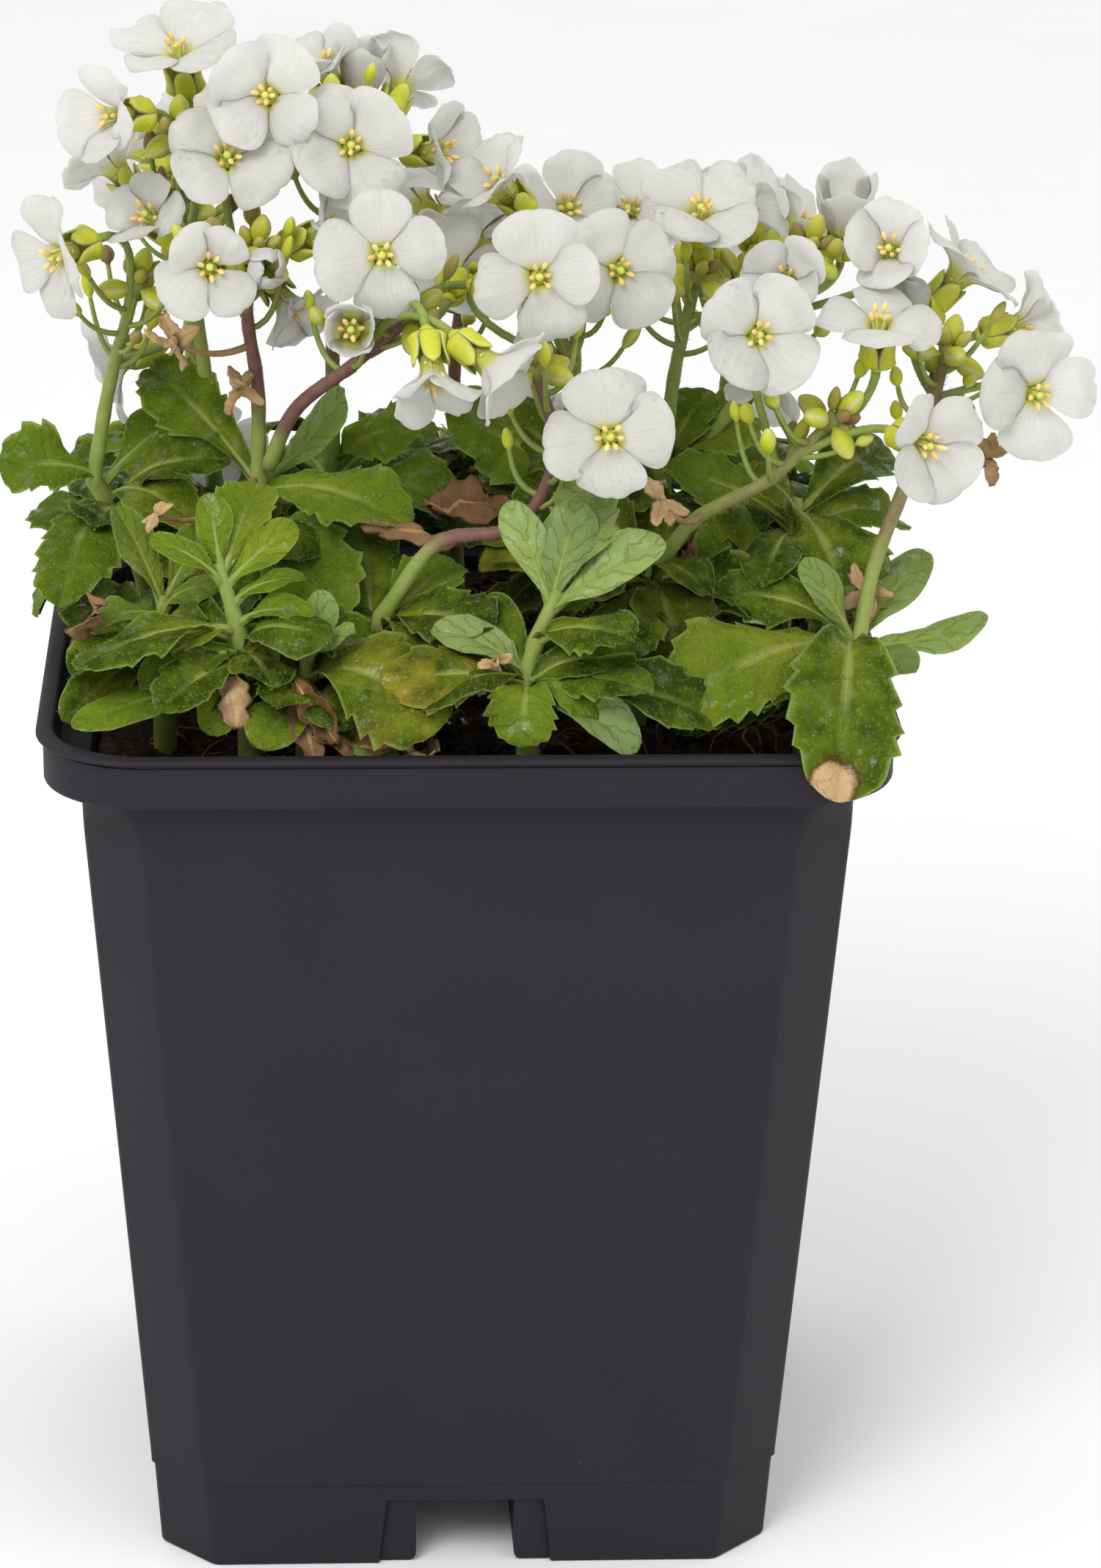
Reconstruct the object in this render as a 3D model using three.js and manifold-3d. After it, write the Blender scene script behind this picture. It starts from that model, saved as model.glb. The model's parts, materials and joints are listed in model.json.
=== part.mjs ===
// Potted rock cress: white four-petalled flowers above toothed green leaves, in a square black nursery pot.
// Millimetres, +Z up, origin at the middle of the pot's underside, -Y is the side that the viewer faces.
import * as THREE from "three";
import { mergeVertices } from "three/addons/utils/BufferGeometryUtils.js";
import Module from "manifold-3d";

const wasm = await Module();
wasm.setup();

// Driving dimensions of the pot
const POT_HEIGHT = 98.7;
const RIM_HALF = 45.0;
const LIP_HEIGHT = 0.9;
const BAND_HALF = 44.3;
const BAND_HEIGHT = 5.8;
const SHOULDER_HALF = 40.7;
const FOOT_HALF = 33.8;
const WALL = 1.2;
const BAND_STEP = 0.4;
const RIM_CORNER = 10.8;
const SHOULDER_CORNER = 9.7;
const INNER_CORNER_CUT = 0.8;
const CHAMFER_TOP = 6.5;
const CHAMFER_FOOT = 5.9;
const FLARE_HEIGHT = 6.0;
const STEP_HEIGHT = 10.2;
const STEP_DEPTH = 0.3;
const CHANNEL_LENGTH = 21.0;
const NOTCH_WIDTH = 10.2;
const NOTCH_HEIGHT = 7.8;
const RECESS_FOOT_WIDTH = 19.0;
const RECESS_TOP_WIDTH = 17.0;
const RECESS_HEIGHT = 8.1;
const RECESS_DEPTH = 0.45;

// Driving dimensions of the plant
const SOIL_LEVEL = 91.5;
const SOIL_BUMP = 0.8;
const SOIL_CROWN = 0.8;
const SOIL_EDGE_DROP = 0.6;
const SOIL_RINGS = [0.8, 0.45];
const CLEARANCE = 0.3;
const SCRAP_VOLUME = 1.0;
const CROWN_RADIUS = 1.7;
const CROWN_TOP_RADIUS = 1.1;
const STEM_SIDES = 5;
const STEM_STEPS = 3;
const STEM_RADIUS = 0.85;
const STEM_TIP_RADIUS = 0.6;
const STALK_RADIUS = 0.5;
const PETAL_HALF_WIDTH = 0.47;
const LEAF_HALF_THICKNESS = 0.6;
const PETAL_HALF_THICKNESS = 0.42;
const SEPAL_RADIUS = 1.9;
const CUP_MOUTH_RADIUS = 1.8;
const CUP_HOLLOW = 0.6;
const SEPAL_TIP = -1.1;
const CUP_POUCH = -3.1;
const CUP_FOOT = -4.8;
const OPENING_TIP = 3.4;
const STALK_PULL = 0.45;
const STALK_DROP = 0.6;
const LOWEST_STALK = 0.3;
const BUD_RADIUS = 1.15;
const BUD_WIDEST = 0.6;
const CORE_FOOT = 0.65;
const CORE_TOP = 1.15;
const CORE_DEPTH = 0.9;
const CORE_HEIGHT = 1.1;
const OUTER_BUD = 4.6;
const TOP_BUD = 3.8;

const UP = new THREE.Vector3(0, 0, 1);
const RADIANS = Math.PI / 180;

// The corners of a four-sided ring stand this much further out than its sides
const CORNER_SPREAD = 1.4;

// Small seeded draw, so the soil's bumps are the same each time
function seededDraw(seed) {
  let state = seed;
  return () => {
    state = (state * 1664525 + 1013904223) % 4294967296;
    return state / 4294967296;
  };
}

function vec(list) {
  return new THREE.Vector3(list[0], list[1], list[2]);
}

// A direction from the viewer's side: turn 0 faces the viewer, 90 faces right, tilt is up from level
function facing(turn, tilt) {
  const level = Math.cos(tilt * RADIANS);
  return new THREE.Vector3(
    level * Math.sin(turn * RADIANS),
    -level * Math.cos(turn * RADIANS),
    Math.sin(tilt * RADIANS),
  );
}

function mix(a, b, share) {
  return a + (b - a) * share;
}

// Closed solid from a three.js geometry or from a list of points and triangles
function solidFromGeometry(geometry) {
  geometry.deleteAttribute("normal");
  geometry.deleteAttribute("uv");
  const merged = mergeVertices(geometry, 1e-5);
  return new wasm.Manifold(new wasm.Mesh({
    numProp: 3,
    vertProperties: new Float32Array(merged.attributes.position.array),
    triVerts: new Uint32Array(merged.index.array),
  }));
}

function solidFromPoints(points, triangles) {
  const geometry = new THREE.BufferGeometry();
  const flat = points.flatMap((p) => [p.x, p.y, p.z]);
  geometry.setAttribute("position", new THREE.Float32BufferAttribute(flat, 3));
  geometry.setIndex(triangles.flat());
  return solidFromGeometry(geometry);
}

// Skin over rings of equal count; each end is closed by a fan, from a middle point where one is given
function loftRings(rings, firstMiddle, lastMiddle) {
  const count = rings[0].length;
  const points = rings.flat();
  const triangles = [];
  for (let i = 0; i + 1 < rings.length; i += 1) {
    for (let j = 0; j < count; j += 1) {
      const a = i * count + j;
      const b = i * count + (j + 1) % count;
      triangles.push([a, b, b + count], [a, b + count, a + count]);
    }
  }
  const last = (rings.length - 1) * count;
  if (firstMiddle) {
    points.push(firstMiddle);
    for (let j = 0; j < count; j += 1) triangles.push([points.length - 1, (j + 1) % count, j]);
  } else {
    for (let j = 1; j + 1 < count; j += 1) triangles.push([0, j + 1, j]);
  }
  if (lastMiddle) {
    points.push(lastMiddle);
    for (let j = 0; j < count; j += 1) triangles.push([points.length - 1, last + j, last + (j + 1) % count]);
  } else {
    for (let j = 1; j + 1 < count; j += 1) triangles.push([last, last + j, last + j + 1]);
  }
  return solidFromPoints(points, triangles);
}

// Tube through stations of [middle, axis, radius]. The ring's first corner starts towards across and is
// carried along without twist. A first or last middle point closes an end as a cone.
function sweep(stations, sides, across, firstMiddle, lastMiddle) {
  const start = across.clone();
  const rings = stations.map(([middle, axis, radius]) => {
    start.addScaledVector(axis, -start.dot(axis)).normalize();
    const beside = new THREE.Vector3().crossVectors(axis, start);
    const ring = [];
    for (let k = 0; k < sides; k += 1) {
      const angle = (k / sides) * 2 * Math.PI;
      ring.push(middle.clone()
        .addScaledVector(start, radius * Math.cos(angle))
        .addScaledVector(beside, radius * Math.sin(angle)));
    }
    return ring;
  });
  return loftRings(rings, firstMiddle, lastMiddle);
}

function anyAcross(axis) {
  const reference = Math.abs(axis.z) > 0.9 ? new THREE.Vector3(1, 0, 0) : UP;
  return new THREE.Vector3().crossVectors(reference, axis).normalize();
}

// Places, directions and radii along a curve; the radius runs evenly from start to end
function stationsAlong(curve, shares, startRadius, endRadius) {
  return shares.map((share) => [
    curve.getPoint(share),
    curve.getTangent(share),
    mix(startRadius, endRadius, share),
  ]);
}

function evenShares(steps) {
  return [...Array(steps + 1).keys()].map((k) => k / steps);
}

// Tube through stations with closed ends; grow thickens and lengthens it for clearance
function tube(stations, grow) {
  const widen = grow > 0 ? 1 / Math.cos(Math.PI / STEM_SIDES) : 1;
  const grown = stations.map(([middle, axis, radius]) => [middle, axis, (radius + grow) * widen]);
  grown[0][0].addScaledVector(grown[0][1], -grow);
  const last = grown[grown.length - 1];
  last[0].addScaledVector(last[1], grow);
  return sweep(grown, STEM_SIDES, anyAcross(grown[0][1]));
}

function taperedTube(curve, steps, startRadius, endRadius, grow) {
  return tube(stationsAlong(curve, evenShares(steps), startRadius, endRadius), grow);
}

// The crown alone, or the crown running on into its stem
const CROWN_STEPS = 3;
const CROWN_SHARES = [0, 0.36, 0.72];

function mainTube(crown, stem, grow) {
  if (!stem) return taperedTube(crown, CROWN_STEPS, CROWN_RADIUS, CROWN_TOP_RADIUS, grow);
  return tube([
    ...stationsAlong(crown, CROWN_SHARES, CROWN_RADIUS, CROWN_TOP_RADIUS),
    ...stationsAlong(stem, evenShares(STEM_STEPS), STEM_RADIUS, STEM_TIP_RADIUS),
  ], grow);
}

// Closed solid between an upper and a lower face that are split alike. The first points, up to rim, are the
// outline in order: with no growth both faces share them, and otherwise a band of that thickness joins
// them.
function closeSheet(upper, lower, sheet, rim, grow) {
  const triangles = [];
  if (grow === 0) {
    const inner = upper.length - rim;
    const under = (index) => (index < rim ? index : index + inner);
    for (const [a, b, c] of sheet) triangles.push([a, b, c], [under(a), under(c), under(b)]);
    return solidFromPoints([...upper, ...lower.slice(rim)], triangles);
  }
  const count = upper.length;
  for (const [a, b, c] of sheet) triangles.push([a, b, c], [a + count, c + count, b + count]);
  for (let i = 0; i < rim; i += 1) {
    const next = (i + 1) % rim;
    triangles.push([next, i, i + count], [next, i + count, next + count]);
  }
  return solidFromPoints([...upper, ...lower], triangles);
}

// Thin blade along a curved midrib. Outline shares are [place along, half width, lift] and the midrib
// shares are the places of its thick inner points, so that no triangle lies wholly on the edge. Both faces
// are split alike.
function blade(shape, grow) {
  const { midrib, face, halfWidth, outline, inner, halfThickness, lift } = shape;
  const sideAt = (axis) => new THREE.Vector3().crossVectors(axis, face).normalize();
  const edgeThickness = grow;
  const top = [];
  const bottom = [];
  const place = (share, width, raise, half) => {
    const middle = midrib.getPoint(share);
    const axis = midrib.getTangent(share);
    const side = sideAt(axis);
    const normal = new THREE.Vector3().crossVectors(side, axis).normalize();
    const point = middle.addScaledVector(side, width).addScaledVector(normal, raise);
    if (share >= 1) point.addScaledVector(axis, grow);
    if (share <= 0) point.addScaledVector(axis, -grow);
    top.push(point.clone().addScaledVector(normal, half));
    bottom.push(point.clone().addScaledVector(normal, -half));
  };
  place(0, 0, 0, edgeThickness);
  for (const [share, width] of outline) {
    place(share, width * halfWidth + grow, lift * width * halfWidth, edgeThickness);
  }
  place(1, 0, 0, edgeThickness);
  for (const [share, width] of [...outline].reverse()) {
    place(share, -width * halfWidth - grow, lift * width * halfWidth, edgeThickness);
  }
  const rim = top.length;
  for (const share of inner) place(share, 0, 0, halfThickness + grow);
  const sheet = [];
  const side = outline.length;
  const strip = (edge) => {
    let spine = 0;
    for (let i = 0; i + 1 < edge.length; i += 1) {
      sheet.push([edge[i].index, edge[i + 1].index, rim + spine, edge[0].turn]);
      const passed = (k) => edge[i + 1].share > (inner[k] + inner[k + 1]) / 2;
      while (i + 2 < edge.length && spine + 1 < inner.length && passed(spine)) {
        sheet.push([edge[i + 1].index, rim + spine + 1, rim + spine, edge[0].turn]);
        spine += 1;
      }
    }
  };
  const right = [{ index: 0, share: 0, turn: 1 }];
  const left = [{ index: 0, share: 0, turn: -1 }];
  for (let i = 0; i < side; i += 1) {
    right.push({ index: 1 + i, share: outline[i][0] });
    left.push({ index: 2 * side + 1 - i, share: outline[i][0] });
  }
  right.push({ index: side + 1, share: 1 });
  left.push({ index: side + 1, share: 1 });
  strip(right);
  strip(left);
  const turned = sheet.map(([a, b, c, turn]) => (turn > 0 ? [a, b, c] : [a, c, b]));
  return closeSheet(top, bottom, turned, rim, grow);
}

// Leaf outlines, as shares of length and half width
const TOOTHED = [
  [0.36, 0.42],
  [0.46, 0.86],
  [0.55, 0.78],
  [0.65, 1.0],
  [0.75, 0.78],
  [0.86, 0.74],
];
const TOOTHED_INNER = [0.3, 0.62, 0.84];
const PLAIN = [[0.25, 0.35], [0.55, 0.9], [0.82, 0.85]];
const PLAIN_INNER = [0.35, 0.75];
const BROAD_LEAF = 7;
const LEAF_TOP = 0.93;
const LEAF_BEND = 0.45;
const LEAF_CUP = 0.18;

// Half the width of a leaf grows from a narrow winged foot to a broad toothed end; rise arches it
function leafShape(root, [x, y, z, width, rise, turn, tilt]) {
  const tip = new THREE.Vector3(x, y, z);
  const face = facing(turn, tilt);
  const chord = tip.clone().sub(root).normalize();
  const normal = face.clone().addScaledVector(chord, -face.dot(chord)).normalize();
  const bend = root.clone().lerp(tip, LEAF_BEND).addScaledVector(normal, 2 * rise);
  const toothed = width >= BROAD_LEAF;
  return {
    midrib: new THREE.QuadraticBezierCurve3(root, bend, tip),
    face: normal,
    halfWidth: width / 2,
    outline: toothed ? TOOTHED : PLAIN,
    inner: toothed ? TOOTHED_INNER : PLAIN_INNER,
    halfThickness: LEAF_HALF_THICKNESS,
    lift: LEAF_CUP,
  };
}

// Bloom rows are throat x, y, z, turn, tilt, span across when flat, cup in degrees from flat, spin round
// its axis
function bloomFrame([x, y, z, turn, tilt, span, cup, spin]) {
  const axis = facing(turn, tilt);
  const reference = Math.abs(axis.z) > 0.9 ? new THREE.Vector3(0, 1, 0) : UP;
  const right = new THREE.Vector3().crossVectors(reference, axis).normalize();
  const up = new THREE.Vector3().crossVectors(axis, right);
  return {
    throat: new THREE.Vector3(x, y, z),
    axis,
    right,
    up,
    reach: span / 2,
    cup: cup * RADIANS,
    spin: spin * RADIANS,
  };
}

function alongAxis(frame, distance) {
  return frame.throat.clone().addScaledVector(frame.axis, distance);
}

// Direction away from the axis at an angle round it
function outwards(frame, angle) {
  return frame.right.clone()
    .multiplyScalar(Math.cos(frame.spin + angle))
    .addScaledVector(frame.up, Math.sin(frame.spin + angle));
}

// Corolla: one thin closed sheet of four rounded petals that meet in a notch beside the throat, with the
// tuft of stamens standing up from its middle. The outline of each petal has four corners, shares of
// [length, half width].
const PETAL_CORNERS = [[0.56, 1.0], [0.98, 0.52]];
const PETAL_MIDDLE = 0.62;
const PETAL_ARCH = 0.55;
const PETAL_FOOT_RADIUS = 0.5;
const PETAL_FOOT_HEIGHT = 0.25;
const PETAL_WIDEST = 0.9;
const NOTCH_RADIUS = 2.3;
const THROAT_RISE = 0.4;
const TUFT_RADIUS = 0.85;
const TUFT_HEIGHT = 2.5;

function corolla(row, grow) {
  const frame = bloomFrame(row);
  const upper = [];
  const lower = [];
  const put = (angle, radius, sideways, height, half) => {
    const out = outwards(frame, angle);
    const side = new THREE.Vector3().crossVectors(frame.axis, out);
    const point = alongAxis(frame, height).addScaledVector(out, radius).addScaledVector(side, sideways);
    const normal = frame.axis.clone()
      .multiplyScalar(Math.cos(frame.cup))
      .addScaledVector(out, -Math.sin(frame.cup));
    upper.push(point.clone().addScaledVector(normal, half));
    lower.push(point.clone().addScaledVector(normal, -half));
  };
  const petalAt = (share) => [
    PETAL_FOOT_RADIUS + share * frame.reach * Math.cos(frame.cup),
    PETAL_FOOT_HEIGHT + share * frame.reach * Math.sin(frame.cup) + PETAL_ARCH * 4 * share * (1 - share),
  ];
  const halfWidth = frame.reach * PETAL_HALF_WIDTH;
  const quarterTurn = Math.PI / 2;
  for (let q = 0; q < 4; q += 1) {
    const angle = q * quarterTurn;
    const corners = PETAL_CORNERS.map(([share, width]) => [share, -width]);
    corners.push(...[...PETAL_CORNERS].reverse());
    for (const [share, width] of corners) {
      const [radius, height] = petalAt(share);
      const half = Math.min(Math.abs(width) * halfWidth, PETAL_WIDEST * radius) + grow;
      const beyond = share > PETAL_MIDDLE ? grow : 0;
      put(angle, radius + beyond, Math.sign(width) * half, height, grow);
    }
    put(angle + quarterTurn / 2, NOTCH_RADIUS + CORNER_SPREAD * grow, 0, THROAT_RISE, grow);
  }
  const rim = upper.length;
  for (let q = 0; q < 4; q += 1) {
    const [radius, height] = petalAt(PETAL_MIDDLE);
    put(q * quarterTurn, TUFT_RADIUS + grow, 0, THROAT_RISE, PETAL_HALF_THICKNESS + grow);
    put(q * quarterTurn, radius, 0, height, PETAL_HALF_THICKNESS + grow);
  }
  upper.push(alongAxis(frame, TUFT_HEIGHT + grow));
  lower.push(alongAxis(frame, -THROAT_RISE - grow));
  const top = upper.length - 1;
  const sheet = [];
  for (let q = 0; q < 4; q += 1) {
    const first = 5 * q;
    const notch = first + 4;
    const before = (first + rim - 1) % rim;
    const throat = rim + 2 * q;
    const middle = throat + 1;
    for (let k = 0; k < 4; k += 1) sheet.push([middle, first + k, first + k + 1]);
    sheet.push([middle, before, first], [middle, throat, before], [middle, notch, throat]);
    sheet.push([top, before, throat], [top, throat, notch]);
  }
  return closeSheet(upper, lower, sheet, rim, grow);
}

// Stalk and cup of sepals in one tube: from the tip over the mouth and the pouch of the sepals to the thin
// stalk, and down to the place on the stem where the stalk leaves it. The tip is a hollow under a bloom and
// the end of the folded petals of an opening bud.
function stalkAndCup(stem, frame, tip, grow) {
  const back = frame.axis.clone().negate();
  const top = alongAxis(frame, CUP_FOOT);
  const foot = stalkFoot(stem, top);
  const reach = foot.distanceTo(top);
  const pull = top.clone().addScaledVector(back, STALK_PULL * reach);
  const curve = new THREE.QuadraticBezierCurve3(top, pull, foot);
  const wider = CORNER_SPREAD * grow;
  const thin = STALK_RADIUS + wider;
  const stations = [
    [alongAxis(frame, SEPAL_TIP + grow), back, CUP_MOUTH_RADIUS + wider],
    [alongAxis(frame, CUP_POUCH), back, SEPAL_RADIUS + wider],
    [top, back, thin],
    [foot, curve.getTangent(1), thin],
  ];
  return sweep(stations, 4, outwards(frame, Math.PI / 4), alongAxis(frame, tip + grow));
}

// Place on the stem where a flower's stalk leaves it: the further out the flower, the lower the place
function stalkFoot(curve, to) {
  const length = curve.getLength();
  const below = Math.max(STALK_DROP * to.distanceTo(curve.getPoint(1)), 1);
  return curve.getPointAt(Math.max(1 - below / length, LOWEST_STALK));
}

// Cluster of buds at the stem's tip, one closed solid: a ring of buds leans out from a small core and one
// stands on top. Each bud widens from its foot on the core and ends in a point.
function budCluster(curve, count, grow) {
  const tip = curve.getPoint(1);
  const axis = curve.getTangent(1);
  const across = anyAcross(axis);
  const around = new THREE.Vector3().crossVectors(axis, across);
  const ring = (radius, height) => {
    const corners = [];
    for (let k = 0; k < count; k += 1) {
      const angle = (k / count) * 2 * Math.PI;
      corners.push(tip.clone()
        .addScaledVector(axis, height)
        .addScaledVector(across, radius * Math.cos(angle))
        .addScaledVector(around, radius * Math.sin(angle)));
    }
    return corners;
  };
  const points = [
    ...ring(CORE_FOOT + grow, -CORE_DEPTH - grow),
    ...ring(CORE_TOP + grow, CORE_HEIGHT + grow),
  ];
  const triangles = [];
  for (let k = 1; k + 1 < count; k += 1) triangles.push([0, k + 1, k]);
  const grownBud = (corners, length) => {
    const middle = corners.reduce((sum, index) => sum.add(points[index]), new THREE.Vector3());
    middle.divideScalar(corners.length);
    const edge = points[corners[1]].clone().sub(points[corners[0]]);
    const aim = edge.cross(points[corners[2]].clone().sub(points[corners[0]])).normalize();
    const wide = corners.map((index) => {
      const out = points[index].clone().sub(middle).normalize();
      points.push(middle.clone()
        .addScaledVector(aim, BUD_WIDEST * length)
        .addScaledVector(out, BUD_RADIUS + CORNER_SPREAD * grow));
      return points.length - 1;
    });
    points.push(middle.clone().addScaledVector(aim, length + grow));
    const end = points.length - 1;
    for (let k = 0; k < corners.length; k += 1) {
      const next = (k + 1) % corners.length;
      triangles.push([corners[k], corners[next], wide[next]], [corners[k], wide[next], wide[k]]);
      triangles.push([wide[k], wide[next], end]);
    }
  };
  for (let k = 0; k < count; k += 1) {
    const next = (k + 1) % count;
    grownBud([k, next, next + count, k + count], OUTER_BUD);
  }
  grownBud([...Array(count).keys()].map((k) => k + count), TOP_BUD);
  return solidFromPoints(points, triangles);
}

// The plants. path runs from the peg in the soil to the top of the crown. Leaves are rows of [share of the
// path, tip x, y, z, width, rise, face turn, face tilt]. Each stem has its own path from the crown, its
// blooms and its number of buds.
const PLANTS = [
  {
    name: "left_rear",
    path: [[-33, 6, 84], [-35, 4, 103], [-40, 0, 117]],
    leaves: [
      [1.0, -50, -3, 117, 9, 2, 0, 50],
      [0.97, -30, 9, 120, 6, 1.5, 0, 50],
      [0.85, -25, -6, 119, 8, 3, 0, 60],
      [0.75, -43, -20, 107, 10, 5, -20, 50],
      [0.6, -46, -10, 103, 7, 3, -70, 30],
      [0.6, -47, 12, 108, 8, 3, -90, 50],
      [0.9, -28, -12, 113, 8, 3, 0, 55],
    ],
    stems: [
      {
        path: [[-40, 0, 115], [-38, 0, 126], [-35, -2, 137]],
        buds: 3,
        blooms: [
          [-42.3, -12, 143.3, -50, -10, 14, 15, 10],
          [-36.8, 9, 126.2, -75, -15, 14, 28, 20],
        ],
        opening: [],
      },
    ],
  },
  {
    name: "left_middle",
    path: [[-20, -4, 84], [-21, -6, 104], [-22, -8, 119]],
    leaves: [
      [0.98, -34, 5.5, 126, 9, 2, 0, 50],
      [0.95, -6, -18, 115, 12, 3, 0, 60],
      [1.0, -13, -6, 127, 5, -1.5, -30, 40],
      [0.85, -14, -27, 107, 12, 2, 0, 45],
      [0.7, -9, 2, 112, 8, 3, 60, 60],
      [0.65, -24, -20, 107, 9, 3, 0, 55],
    ],
    stems: [
      {
        path: [[-22, -8, 118], [-22, -9, 128], [-23, -11, 137], [-22, -12, 143]],
        buds: 4,
        blooms: [
          [-25, -10, 153, 5, 30, 15, 8, 45],
          [-33, -8, 146, -40, 35, 11, 30, 0],
          [-26.8, -19, 143.6, 5, 15, 13, 30, 45],
          [-19, -8, 137, 40, -35, 12, 45, 0],
          [-15.2, -10, 145, 60, 30, 12, 35, 20],
        ],
        opening: [[-21, -19, 143.6, 10, 10, 5, 75, 0]],
      },
      {
        path: [[-21, -9, 119], [-18, -11, 126], [-12, -15, 132], [-6, -18, 138]],
        buds: 4,
        blooms: [
          [-9, -23, 146, 0, 10, 14.5, 18, 8],
          [-4, -32, 136, 10, -50, 13, 50, 45],
          [1.6, -32.2, 136.9, 55, -30, 14, 35, 40],
          [5, -13.8, 139.7, 80, -5, 13, 30, 45],
          [-1, -4, 139, 170, 20, 14, 20, 0],
        ],
        opening: [[-12.1, -26, 138.8, -5, 15, 7, 65, 0]],
      },
    ],
  },
  {
    name: "left_front",
    path: [[-32, -20, 84], [-32, -22, 100], [-32, -22, 109]],
    leaves: [
      [1.0, -37, -20, 118, 5, 1, 20, 40],
      [1.0, -27, -17, 116, 4, 1, 0, 40],
      [0.95, -26, -25, 111, 3.5, 1.5, 0, 60],
      [0.9, -39, -29, 108, 4.5, 1.5, 0, 60],
      [0.8, -28, -34, 104, 7, 4, 0, 60],
      [0.7, -42, -36, 100, 6, 2, 0, 50],
      [0.7, -24, -30, 101, 7, 2, 0, 55],
    ],
    stems: [],
  },
  {
    name: "front_left",
    path: [[-23, -31, 84], [-23, -31, 100], [-24, -31, 108], [-26, -30, 115]],
    leaves: [
      [0.96, -33, -31, 118, 3, 1.5, 0, 50],
      [1.0, -27, -28, 122, 4, 0.5, 0, 30],
      [1.0, -22, -24, 122, 7, 1, 0, 40],
      [0.95, -18, -29, 119, 4.5, 1, 0, 40],
      [0.85, -17, -32, 114, 3, 1.5, 0, 60],
      [0.75, -16, -35, 111, 3.5, 1.5, 0, 60],
      [0.72, -31, -35, 107, 3, 1.5, 0, 60],
      [0.6, -34, -37, 104, 5.5, 2, 0, 50],
      [0.5, -41, -39, 100.4, 4.5, 1, 0, 50],
      [0.55, -27, -38, 99, 5, 2, 0, 40],
    ],
    stems: [],
  },
  {
    name: "front_middle",
    path: [[-17, -31, 84], [-17, -32, 99], [-17, -33, 106]],
    leaves: [
      [1.0, -19, -35, 112, 3, 0.5, 0, 40],
      [1.0, -12, -37, 110, 3.5, 1, 0, 60],
      [1.0, -15, -33, 113, 4, 0.5, 0, 40],
      [0.85, -3, -41, 101, 14, 4, 0, 60],
      [0.6, -22, -40.5, 98.5, 6, 1.5, 0, 60],
      [0.45, -8, -41.5, 96.5, 5, 2, 0, 60],
    ],
    stems: [],
  },
  {
    name: "centre_front",
    path: [[-10, -22, 84], [-10, -24, 100], [-9, -26, 110]],
    leaves: [
      [0.85, -3, -33, 104, 7, 3, 20, 60],
      [0.8, -1, -21, 112, 8, 2, 20, 60],
      [0.6, -9, -14, 108, 8, 2, 0, 60],
      [0.7, -11, -12, 114, 9, 1, 0, 40],
      [0.6, 3, -24, 104, 8, 2, 0, 55],
    ],
    stems: [
      {
        path: [[-9, -26, 108], [-3, -26, 116], [5, -27, 118], [9, -25, 125], [7, -25, 134]],
        buds: 4,
        blooms: [
          [14, -35, 130, 0, 15, 14.5, 12, 0],
        ],
        opening: [],
      },
    ],
  },
  {
    name: "front_right_of_middle",
    path: [[6, -33, 84], [6, -35, 100], [6, -34, 105], [9, -33, 113]],
    leaves: [
      [1.0, 4, -31, 122, 4.5, 0.8, 0, 30],
      [1.0, 11, -31, 122, 6, 0.5, 0, 30],
      [0.97, 14, -26, 124, 8, 1, 0, 40],
      [0.97, 20, -32, 118, 5.5, 1, 0, 50],
      [0.6, 14, -39, 101, 6, 3, 0, 60],
      [0.55, 5, -42, 99, 8, 2.5, 0, 60],
      [0.5, 17, -41, 98, 5, 2, 0, 60],
      [0.55, 26, -38, 100, 9, 3, 0, 60],
      [0.6, 15, -28, 103, 12, 3, 0, 60],
      [0.6, 1, -29, 110, 6, 2, 0, 50],
      [0.62, -4, -34, 109, 5, 2, 0, 60],
      [0.5, 1.5, -24.5, 101, 8, 2, 0, 55],
    ],
    stems: [],
  },
  {
    name: "right_front",
    path: [[35, -23, 84], [37, -24.5, 97], [41, -26, 106]],
    leaves: [
      [0.95, 21, -37, 101, 14, 4, 0, 60],
      [1.0, 26, -23, 109, 8, 3, 0, 60],
      [0.95, 37, -48, 95, 13, 7, 0, 60],
      [1.0, 35, -26, 114, 4, 1, 0, 50],
      [0.98, 55, -24, 107, 4, -1.5, 0, 60],
      [0.85, 47, -30, 103, 5, 1.5, 20, 60],
      [0.97, 44, -13, 111, 5, 1, 20, 40],
      [0.9, 50, -11, 110, 5, 2, 60, 60],
    ],
    stems: [
      {
        path: [[41, -26, 104], [43, -22, 112], [46, -19, 119], [49, -15, 126], [51, -12, 132]],
        buds: 4,
        blooms: [
          [53, -5, 139, 100, 45, 15, 25, 45],
          [60, -3, 133, 100, 10, 13, 35, 0],
          [59.7, -18, 129.7, 20, 5, 15, 18, 0],
        ],
        opening: [[47.9, -8, 137.2, -60, 50, 5, 75, 0]],
      },
    ],
  },
  {
    name: "right_middle",
    path: [[34, -6, 84], [35, -7, 104], [36, -8, 115]],
    leaves: [
      [1.0, 41, -21, 105, 13, 4, 0, 50],
      [0.97, 47, 6, 117, 9, 2, 20, 60],
      [0.85, 48, 0, 110, 8, 3, 60, 60],
      [1.0, 31, -11, 119, 6, 1, 0, 50],
      [0.9, 22, -4, 117, 9, 2, 0, 60],
      [0.8, 26, -16, 109, 11, 2, 0, 60],
      [0.8, 40, 8, 110, 8, 3, 120, 60],
      [0.6, 28, -20, 101, 9, 3, 0, 55],
      [0.7, 45, -9, 104, 7, 3, 30, 55],
    ],
    stems: [],
  },
  {
    name: "middle_right",
    path: [[18, -14, 84], [19, -17, 104], [20, -18, 112]],
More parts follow.
